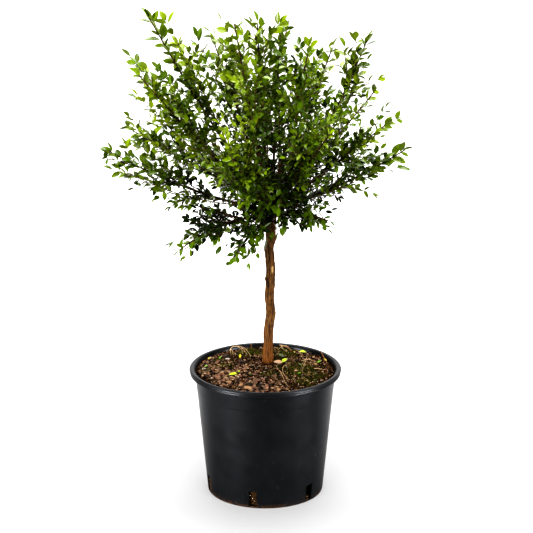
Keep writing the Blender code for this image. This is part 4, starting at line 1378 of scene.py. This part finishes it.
def leaf_shape(fold, droop, twist):
    """A leaf one long and one wide: an oval with a point and a short stalk, folded and curved."""
    form = bmesh.new()
    layer = form.loops.layers.uv.new("leaf_map")
    bmesh.ops.create_grid(form, x_segments=2, y_segments=len(LEAF_ROWS) - 1, size=0.5)
    for face in form.faces:
        for loop in face.loops:
            loop[layer].uv = (loop.vert.co.x + 0.5, loop.vert.co.y + 0.5)
    for corner in form.verts:
        row = round((corner.co.y + 0.5) * (len(LEAF_ROWS) - 1))
        share, width = LEAF_ROWS[row]
        side = corner.co.x * width
        lift = fold * abs(side) - droop * share * share + twist * side * share
        corner.co = (side, share, lift)
    bmesh.ops.remove_doubles(form, verts=form.verts, dist=0.0001)
    return shape_of(form)


LEAF_SHAPES = [
    leaf_shape(0.14, 0.08, 0.0),
    leaf_shape(0.22, 0.16, 0.06),
    leaf_shape(0.10, 0.24, -0.06),
    leaf_shape(0.30, 0.12, 0.04),
    leaf_shape(0.18, -0.05, -0.04),
    leaf_shape(0.20, 0.34, 0.0),
]
TONES = ("fresh", "young", "green", "deep", "shade")
leaf_places = {tone: [] for tone in TONES}
twig_lines = {"brown": [], "green": []}


def add_leaf(number, base, twig, out, length, tone, draw):
    """One leaf, spread from its twig or held closer to it, where its mass has room for it."""
    angle = LEAF_ANGLE * draw.uniform(0.75, 1.25)
    outer = min(1.0, (base - KNUCKLE).length / shoots[number].reach) ** 2
    roll = draw.uniform(-1.0, 1.0) * (LEAF_ROLL + (LEAF_ROLL_OUTSIDE - LEAF_ROLL) * outer)
    shape = draw.randrange(len(LEAF_SHAPES))
    width = LEAF_WIDTH_SHARE * draw.uniform(0.88, 1.12)
    for spread, size in ((1.0, 1.0), (0.55, 0.9), (1.0, 0.7)):
        along = (twig * math.cos(angle * spread) + out * math.sin(angle * spread)).normalized()
        tip = base + along * length * size
        if holds(number, tip) and holds(number, base.lerp(tip, 0.5)):
            face = side_direction(along, roll)
            across = along.cross(face)
            turn = Matrix((across * width * size * length, along * size * length,
                           face * width * size * length * LEAF_DEPTH))
            leaf_places[tone].append((shape, Matrix.Translation(base) @ turn.transposed().to_4x4()))
            return


def leafy(number, path, first, scale, tone, draw, kept=HEART_LEAVES):
    """Crossed pairs of leaves along a path from 0 to 1, and one leaf on its tip.

    Leaves are small and sparse in the crown's shaded heart and largest at its outside.
    """
    reach = shoots[number].reach
    largest = LEAF_OUTSIDE * shoots[number].leaf_size
    span = (path(1.0) - path(0.0)).length
    turn = draw.uniform(0.0, math.pi)
    share = first
    while share < 1.0:
        depth = min(1.0, (path(share) - KNUCKLE).length / reach)
        size = scale * (LEAF_INSIDE + (largest - LEAF_INSIDE) * depth**LEAF_GROWTH)
        turn += math.pi / 2
        if draw.random() < kept + (1.0 - kept) * depth / BARE_HEART:
            along = direction(path, share)
            for side in (0.0, math.pi):
                out = side_direction(along, turn + side + draw.uniform(-0.3, 0.3))
                add_leaf(number, path(share), along, out, size * draw.uniform(0.8, 1.12), tone, draw)
        share += size * PAIR_APART * draw.uniform(0.85, 1.15) / span
    add_leaf(number, path(1.0), direction(path, 1.0), Vector(), size * 0.9, tone, draw)


def bent_path(start, lay, length, bend):
    """A path that starts along its lay and bends evenly."""
    return lambda share: start + lay * (length * share) + bend * (length * share * share)


def part_of(path, first, span):
    """A path that runs along a part of another one."""
    return lambda share: path(first + span * share)


def twiglet_path(path, mark, turn, length, draw):
    """The course of a twiglet that leaves a twig at a mark, turned about it."""
    way = direction(path, mark)
    side = side_direction(way, turn)
    out = way * math.cos(TWIGLET_ANGLE) + side * math.sin(TWIGLET_ANGLE)
    lay = (out + UP * TWIG_LIFT * 0.7).normalized()
    return bent_path(path(mark), lay, length, UP * draw.uniform(0.0, 0.15))


def spaced(zone, step, count, draw):
    """Where one of several twigs stands in a zone of its stem, a little unevenly."""
    first, span = zone
    return first + span * (step + draw.uniform(0.0, 0.8)) / count


def add_twig(kind, path, thick, thin, pieces):
    """A tapering twig along a path from 0 to 1."""
    line = []
    for piece in range(pieces + 1):
        share = piece / pieces
        line.append((path(share), thick + (thin - thick) * share))
    twig_lines[kind].append(line)


def tone_of(point, outer, draw):
    """The leaf colour of one spray: brighter outside and above, darker inside and below, partly for the
    leaves' age and partly as painted light and shade.
    """
    rise = max(TONE_LOWEST, (point.z - CROWN_FOOT) / CROWN_RISE)
    patch = noise.noise(point * 11.0)
    growth_and_light = max(math.exp(-((point - Vector(place)).length / BRIGHT_REACH) ** 2) for place in BRIGHT_PLACES)
    bright = TONE_BASE + TONE_OUTER * outer + TONE_HIGH * rise + TONE_PATCH * patch + TONE_GROWTH_AND_LIGHT * growth_and_light
    bright += draw.uniform(-TONE_SCATTER, TONE_SCATTER)
    last = len(TONES) - 1
    return TONES[last - max(0, min(last, math.floor(bright * len(TONES))))]


def wood_of(tone):
    """The kind of wood a spray has: green on fresh shoots, brown on older ones."""
    return "green" if tone in ("fresh", "young") else "brown"


def leafy_twig(number, path, length, share, tone, draw, kept=HEART_LEAVES):
    """One twig with its wood and its leaves, larger and further apart at the crown's outside."""
    if not holds(number, path(1.0) + direction(path, 1.0) * LEAF_INSIDE):
        return
    thick = TWIG_RADIUS * (0.55 + 0.55 * min(1.0, length / LONGEST_TWIG)) * (1.15 - 0.4 * share)
    add_twig(wood_of(tone), path, thick, TWIGLET_RADIUS * 0.7, max(3, round(length / 0.014)))
    bare = TWIG_BARE + 0.20 * min(1.0, length / LONGEST_TWIG) * (1.0 - share)
    leafy(number, path, bare, draw.uniform(0.88, 1.1), tone, draw, kept)


def grow_side(number, stem, share, turn, angle, full, branches, draw):
    """One side twig from a stem, as long as its room allows, with smaller twigs on it."""
    start = stem(share)
    along = direction(stem, share)
    out = side_direction(along, turn)
    lift = UP * TWIG_LIFT * draw.uniform(0.3, 1.2)
    lay = (along * math.cos(angle) + out * math.sin(angle) + lift).normalized()
    bend = UP * draw.uniform(0.0, 0.20) + out * draw.uniform(-0.22, 0.02)
    for length in (full * size for size in (1.0, 0.85, 0.7, 0.55, 0.4)):
        path = bent_path(start, lay, length, bend)
        if roomy(number, path, (0.35, 0.6, 0.8, 1.0)):
            break
    else:
        return
    outer = min(1.0, (path(1.0) - KNUCKLE).length / CROWN_REACH)
    tone = tone_of(path(1.0), outer, draw)
    leafy_twig(number, path, length, share, tone, draw, HEART_LEAVES if branches else FOOT_LEAVES)
    small_turn = draw.uniform(0.0, 2 * math.pi)
    count = int(length / TWIGLET_SPACING) if branches else 0
    for small in range(count):
        mark = 0.12 + 0.66 * (small + draw.uniform(0.0, 0.7)) / count
        short = TWIGLET_LENGTH * draw.uniform(0.5, 1.2) * (1.15 - 0.55 * mark)
        small_path = twiglet_path(path, mark, small_turn, short, draw)
        small_turn += GOLDEN_ANGLE
        if not roomy(number, small_path, (0.5, 1.0)):
            continue
        small_tone = tone_of(small_path(1.0), outer, draw) if draw.random() < 0.6 else tone
        leafy_twig(number, small_path, short, share, small_tone, draw)


def grow_shoot(number, shoot):
    """All twigs and leaves of one shoot."""
    draw = random.Random(100 + number)
    stem = part_of(shoot.at, 0.0, shoot.wood)
    outer_stem = part_of(stem, *OUTER_PART)
    tip_tone = "green" if shoot.reach < 0.24 else draw.choice(("young", "young", "fresh", "green"))
    leafy(number, outer_stem, 0.0, 1.10, tip_tone, draw)
    if number + 1 in LEADERS:
        leafy(number, part_of(outer_stem, 0.0, 0.94), 0.06, LEADER_LEAVES, "young", draw, 1.0)
    # The stem's inner leaves take a dark tone: partly older leaves, partly painted shade of the crown's
    # heart.
    leafy(number, part_of(stem, *INNER_PART), 0.0, 1.0, "deep", draw)
    turn = draw.uniform(0.0, 2 * math.pi)
    long_twigs = round(LONG_TWIGS * shoot.fullness)
    short_twigs = round(SHORT_TWIGS * shoot.fullness)
    for step in range(FOOT_TWIGS):
        share = spaced(FOOT_ZONE, step, FOOT_TWIGS, draw)
        angle = math.radians(draw.uniform(*FOOT_ANGLES))
        full = FOOT_TWIG_LENGTH * draw.uniform(0.7, 1.2)
        grow_side(number, stem, share, turn, angle, full, False, draw)
        turn += GOLDEN_ANGLE
    for step in range(long_twigs):
        share = spaced(LONG_ZONE, step, long_twigs, draw)
        angle = math.radians(draw.uniform(*LONG_ANGLES))
        full = shoot.reach * (1.0 - share) * draw.uniform(0.55, 0.78 + 0.18 * shoot.fullness)
        grow_side(number, stem, share, turn, angle, full, True, draw)
        turn += GOLDEN_ANGLE
    for step in range(short_twigs):
        share = spaced(SHORT_ZONE, step, short_twigs, draw)
        angle = SHORT_ANGLE * draw.uniform(0.8, 1.2)
        full = SHORT_TWIG_LENGTH * draw.uniform(0.5, 1.1) * (1.0 - 0.6 * max(0.0, share - 0.5) / 0.32)
        grow_side(number, stem, share, turn, angle, full, share < 0.6, draw)
        turn += GOLDEN_ANGLE


def grow_spray(bough, share, tip, arch, scale, least_light, draw):
    """A spray that leaves its bough's stem smoothly and ends at a given place."""
    stem = shoots[bough - 1].at
    start = stem(share)
    tip = Vector(tip)
    length = (tip - start).length
    bend = start + direction(stem, share) * length * 0.45 + UP * arch

    def path(mark):
        return start.lerp(bend, mark).lerp(bend.lerp(tip, mark), mark)

    outer = min(1.0, (tip - KNUCKLE).length / CROWN_REACH)
    tone = tone_of(tip, max(outer, least_light), draw)
    pieces = max(4, round(length / 0.010))
    add_twig(wood_of(tone), path, TWIG_RADIUS * 1.15, TWIGLET_RADIUS * 0.8, pieces)
    leafy(bough - 1, path, 0.18, scale, tone, draw, 1.0)
    turn = draw.uniform(0.0, 2 * math.pi)
    for small in range(int(length / TWIGLET_SPACING) - 1):
        mark = 0.25 + 0.16 * small
        short = TWIGLET_LENGTH * draw.uniform(0.6, 1.1)
        small_path = twiglet_path(path, mark, turn, short, draw)
        turn += GOLDEN_ANGLE
        if roomy(bough - 1, small_path, (0.5, 1.0)):
            small_tone = tone_of(small_path(1.0), outer, draw)
            leafy_twig(bough - 1, small_path, short, share, small_tone, draw)


for number, shoot in enumerate(shoots):
    grow_shoot(number, shoot)
draw = random.Random(90)
# Outline and fringe sprays keep a least brightness of tone, which is painted light on their leaves; the
# heart's sprays keep none.
for rows, least_light in ((SPRAYS, SPRAY_LIGHT), (HEART_SPRAYS, 0.0), (FRINGE_SPRAYS, 1.0)):
    for row in rows:
        grow_spray(*row, least_light, draw)


def make_leaf(name, colour, under, roughness):
    """A glossy leaf: slightly mottled above, with a paler midrib, and dull and pale below."""
    material, tree, shader, place = new_material(name, roughness, 0.36)
    dark = tuple(value * 0.82 for value in colour)
    light = tuple(value * 1.18 for value in colour)
    blade = mottled(tree, place, 45.0, 0.2, dark, light)
    spot = add_node(tree, "UVMap", uv_map="leaf_map").outputs[0]
    side = add_node(tree, "SeparateXYZ", {"Vector": spot}).outputs["X"]
    wide = maths(tree, "ABSOLUTE", maths(tree, "SUBTRACT", side, 0.5))
    rib = ranged(tree, wide, 0.07, 0.02, 0.0, 0.45)
    pale = (1.3 * colour[0] + 0.03, 1.2 * colour[1] + 0.035, colour[2] + 0.006)
    upper = mixed(tree, rib, blade["Color"], (*pale, 1))
    back = add_node(tree, "NewGeometry").outputs["Backfacing"]
    both = mixed(tree, back, upper, (*under, 1))
    finish_shader(tree, shader, both, blade["Mask"], 0.12, 0.0005)
    return material


# Each tone above and below. The darker tones are partly older leaves and partly painted shade, the lighter
# ones partly young growth and partly painted light.
LEAF_COLOURS = {
    "fresh": ((0.210, 0.290, 0.0030), (0.170, 0.230, 0.016)),
    "young": ((0.140, 0.214, 0.0015), (0.118, 0.172, 0.012)),
    "green": ((0.086, 0.152, 0.0008), (0.080, 0.130, 0.008)),
    "deep": ((0.034, 0.069, 0.0004), (0.037, 0.066, 0.004)),
    "shade": ((0.008, 0.019, 0.0002), (0.010, 0.021, 0.002)),
}
for tone in TONES:
    mesh = joined_mesh(LEAF_SHAPES, leaf_places[tone], smooth=True)
    colour, under = LEAF_COLOURS[tone]
    leaves = add_piece(f"leaves_{tone}", mesh, make_leaf(f"leaf_{tone}", colour, under, 0.24))
    if tone == TONES[0]:
        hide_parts(*[f"foliage_{number:02d}" for number in range(1, len(SHOOTS) + 1)])

twig_bark = make_stem_bark("twig_bark", (0.022, 0.009, 0.004), (0.100, 0.046, 0.020), 0.55)
green_bark = make_stem_bark("green_bark", (0.070, 0.055, 0.012), (0.170, 0.130, 0.035), 0.5)
for kind, material in (("brown", twig_bark), ("green", green_bark)):
    form = tube_mesh(twig_lines[kind], 4)
    add_piece(f"twigs_{kind}", shaded_mesh(form, 180.0), material)


# ---- Fallen leaves ----
# Leaves of the plant that have dropped on the compost: fresh yellow-green ones, and two dry,
# pinkish-brown ones, the larger of them curled up beside the trunk.

FALLEN_LIFT = 0.0044
FALLEN_TILT = 0.30
FALLEN_WIDTH_SHARE = 0.52
FALLEN_DEPTH = 0.8
# Of each kind: its colours above and below, then x, y, length, turn in degrees and rise of
# every leaf.
FALLEN_LEAVES = {
    "fallen_lime": ((0.440, 0.560, 0.010), (0.380, 0.470, 0.040), (
        (-0.0589, -0.0465, 0.0156, 12, 0.10), (-0.0485, -0.0360, 0.0061, 60, 0.40),
        (0.0346, 0.0170, 0.0156, 48, 0.30), (0.0699, 0.0815, 0.0142, -12, 0.10),
    )),
    "fallen_green": ((0.150, 0.300, 0.008), (0.140, 0.250, 0.020), (
        (0.0991, 0.0270, 0.0095, 20, 0.40), (-0.0844, 0.0470, 0.0075, 50, 0.30),
        (-0.1100, 0.0085, 0.0075, 30, 0.20), (0.0620, -0.0420, 0.0075, 10, 0.20),
    )),
    "fallen_yellow": ((0.520, 0.440, 0.030), (0.440, 0.370, 0.045), (
        (-0.0472, 0.0515, 0.0095, 80, 0.50), (0.1120, 0.0450, 0.0075, 130, 0.30),
        (0.0544, 0.0780, 0.0043, 100, 0.30), (-0.1050, 0.0505, 0.0061, 20, 0.20),
    )),
    "fallen_olive": ((0.060, 0.080, 0.005), (0.065, 0.080, 0.010), (
        (0.0292, 0.0445, 0.0156, -50, 0.15), (0.0640, 0.0030, 0.0104, -40, 0.15),
        (-0.0270, -0.0535, 0.0081, 25, 0.10), (0.0903, -0.0665, 0.0071, -30, 0.10),
    )),
    "fallen_dry": ((0.450, 0.270, 0.160), (0.500, 0.320, 0.200), (
        (0.0225, 0.0060, 0.0225, -40, 0.30), (0.0560, -0.0300, 0.0081, 15, 0.20),
    )),
}
for name, (colour, under, rows) in FALLEN_LEAVES.items():
    places = []
    for order, (x, y, length, turn, rise) in enumerate(rows):
        spot = Matrix.Translation((x, y, ground(x, y) + FALLEN_LIFT))
        facing = Matrix.Rotation(math.radians(turn - 90.0), 4, "Z")
        lean = Matrix.Rotation(FALLEN_TILT, 4, "X") @ facing
        span = Matrix.Diagonal((length * FALLEN_WIDTH_SHARE, length, length * FALLEN_DEPTH, 1.0))
        size = Matrix.Rotation(rise, 4, "X") @ span
        middle = Matrix.Translation((0.0, -0.5, 0.0))
        places.append((order % len(LEAF_SHAPES), spot @ lean @ size @ middle))
    mesh = joined_mesh(LEAF_SHAPES, places, smooth=True)
    add_piece(name, mesh, make_leaf(name, colour, under, 0.45))


# ---- Studio ----
# A pale paper floor that runs out of sight, even light from all round, soft lamps above,
# behind and at both sides, and the camera on a long lens that looks down a little.

FLOOR_SIZE = 30.0
ROOM_LIGHT = 0.20
CAMERA_PLACE = Vector((0.0022, -4.0, 1.686))
CAMERA_TARGET = Vector((0.0022, 0.0, 0.431))
SENSOR_WIDTH = 36.0
PICTURE_WIDTH = 533.0
FOCAL_LENGTH = 2305.0

bpy.context.scene.view_settings.view_transform = "Standard"
bpy.context.scene.view_settings.look = "High Contrast"

floor_form = bmesh.new()
bmesh.ops.create_grid(floor_form, x_segments=1, y_segments=1, size=FLOOR_SIZE)
floor_mesh = mesh_of("floor", floor_form)
floor_paint, floor_tree, floor_shader, floor_place = new_material("floor_paper", 0.9, 0.1)
paper = mottled(floor_tree, floor_place, 2.0, 0.4, (0.29, 0.29, 0.29), (0.30, 0.30, 0.30))
seen = add_node(floor_tree, "LightPath").outputs["Is Camera Ray"]
paper_colour = mixed(floor_tree, seen, (0.08, 0.08, 0.08, 1), paper["Color"])
floor_tree.links.new(paper_colour, floor_shader.inputs["Base Color"])
# The farther from the pot, the more the paper glows by itself, so that it stays white.
spread = add_node(floor_tree, "VectorMath", {0: floor_place}, operation="LENGTH")
far = add_node(floor_tree, "MapRange", {"Value": spread.outputs["Value"], "From Max": 1.5, "To Min": 0.22,
                                        "To Max": 1.25}, interpolation_type="SMOOTHSTEP")
# Behind the pot the paper glows for reflections as well, and in front of it not at all.
behind = add_node(floor_tree, "SeparateXYZ", {"Vector": floor_place}).outputs["Y"]
sweep = ranged(floor_tree, behind, -0.05, 0.45, 0.0, 0.95)
glow = add_node(floor_tree, "Mix", {0: seen, 2: sweep, 3: far.outputs[0]})
floor_tree.links.new(glow.outputs[0], floor_shader.inputs["Emission Color"])
floor_shader.inputs["Emission Strength"].default_value = 1.0
floor_mesh.materials.append(floor_paint)
floor = add_object("floor", floor_mesh)

world = bpy.data.worlds.new("studio")
world.use_nodes = True
backdrop = world.node_tree.nodes["Background"]
backdrop.inputs["Color"].default_value = (1.0, 1.0, 1.0, 1.0)
backdrop.inputs["Strength"].default_value = ROOM_LIGHT
bpy.context.scene.world = world


def add_lamp(name, place, target, wide, high, power, spread=180.0):
    """A soft oblong lamp that looks at a point; it lights things but isn't seen itself."""
    data = bpy.data.lights.new(name, "AREA")
    data.shape = "RECTANGLE"
    data.size = wide
    data.size_y = high
    data.energy = power
    data.spread = math.radians(spread)
    lamp = add_object(name, data)
    lamp.location = place
    lamp.rotation_euler = (Vector(target) - Vector(place)).to_track_quat("-Z", "Y").to_euler()
    lamp.visible_camera = False
    return lamp


add_lamp("top", (0.0, 0.8, 3.0), (0, 0.3, 0.0), 2.4, 2.4, 130.0)
side_lamps = [
    add_lamp("left_strip", (-2.0, -1.45, 0.95), (0, 0, 0.4), 0.5, 1.5, 80.0),
    add_lamp("right_strip", (2.05, -1.30, 0.95), (0, 0, 0.4), 0.5, 1.5, 62.0),
    add_lamp("left_low", (-1.02, -0.76, 0.13), (0, 0, 0.05), 0.22, 0.24, 1.5, 40.0),
    add_lamp("right_low", (1.08, -0.72, 0.13), (0, 0, 0.05), 0.22, 0.24, 1.2, 40.0),
]
# The side lamps leave the floor alone, so that they draw no shadows on it.
all_but_floor = bpy.data.collections.new("all_but_floor")
all_but_floor.objects.link(floor)
all_but_floor.collection_objects[0].light_linking.link_state = "EXCLUDE"
for lamp in side_lamps:
    lamp.light_linking.receiver_collection = all_but_floor
# A wide soft lamp in front lights the floor in their place, and the floor alone.
only_floor = bpy.data.collections.new("only_floor")
only_floor.objects.link(floor)
floor_lamp = add_lamp("floor_fill", (0.0, -2.2, 2.2), (0, 0, 0.0), 4.0, 2.4, 125.0)
floor_lamp.light_linking.receiver_collection = only_floor
add_lamp("backdrop", (0.0, 3.0, 1.3), (0, 0, 0.6), 4.0, 1.6, 24.0)

lens = bpy.data.cameras.new("camera")
lens.sensor_width = SENSOR_WIDTH
# The focal length is given in points of a picture of the picture's width.
lens.lens = FOCAL_LENGTH * SENSOR_WIDTH / PICTURE_WIDTH
camera = add_object("camera", lens)
camera.location = CAMERA_PLACE
camera.rotation_euler = (CAMERA_TARGET - CAMERA_PLACE).to_track_quat("-Z", "Y").to_euler()
bpy.context.scene.camera = camera
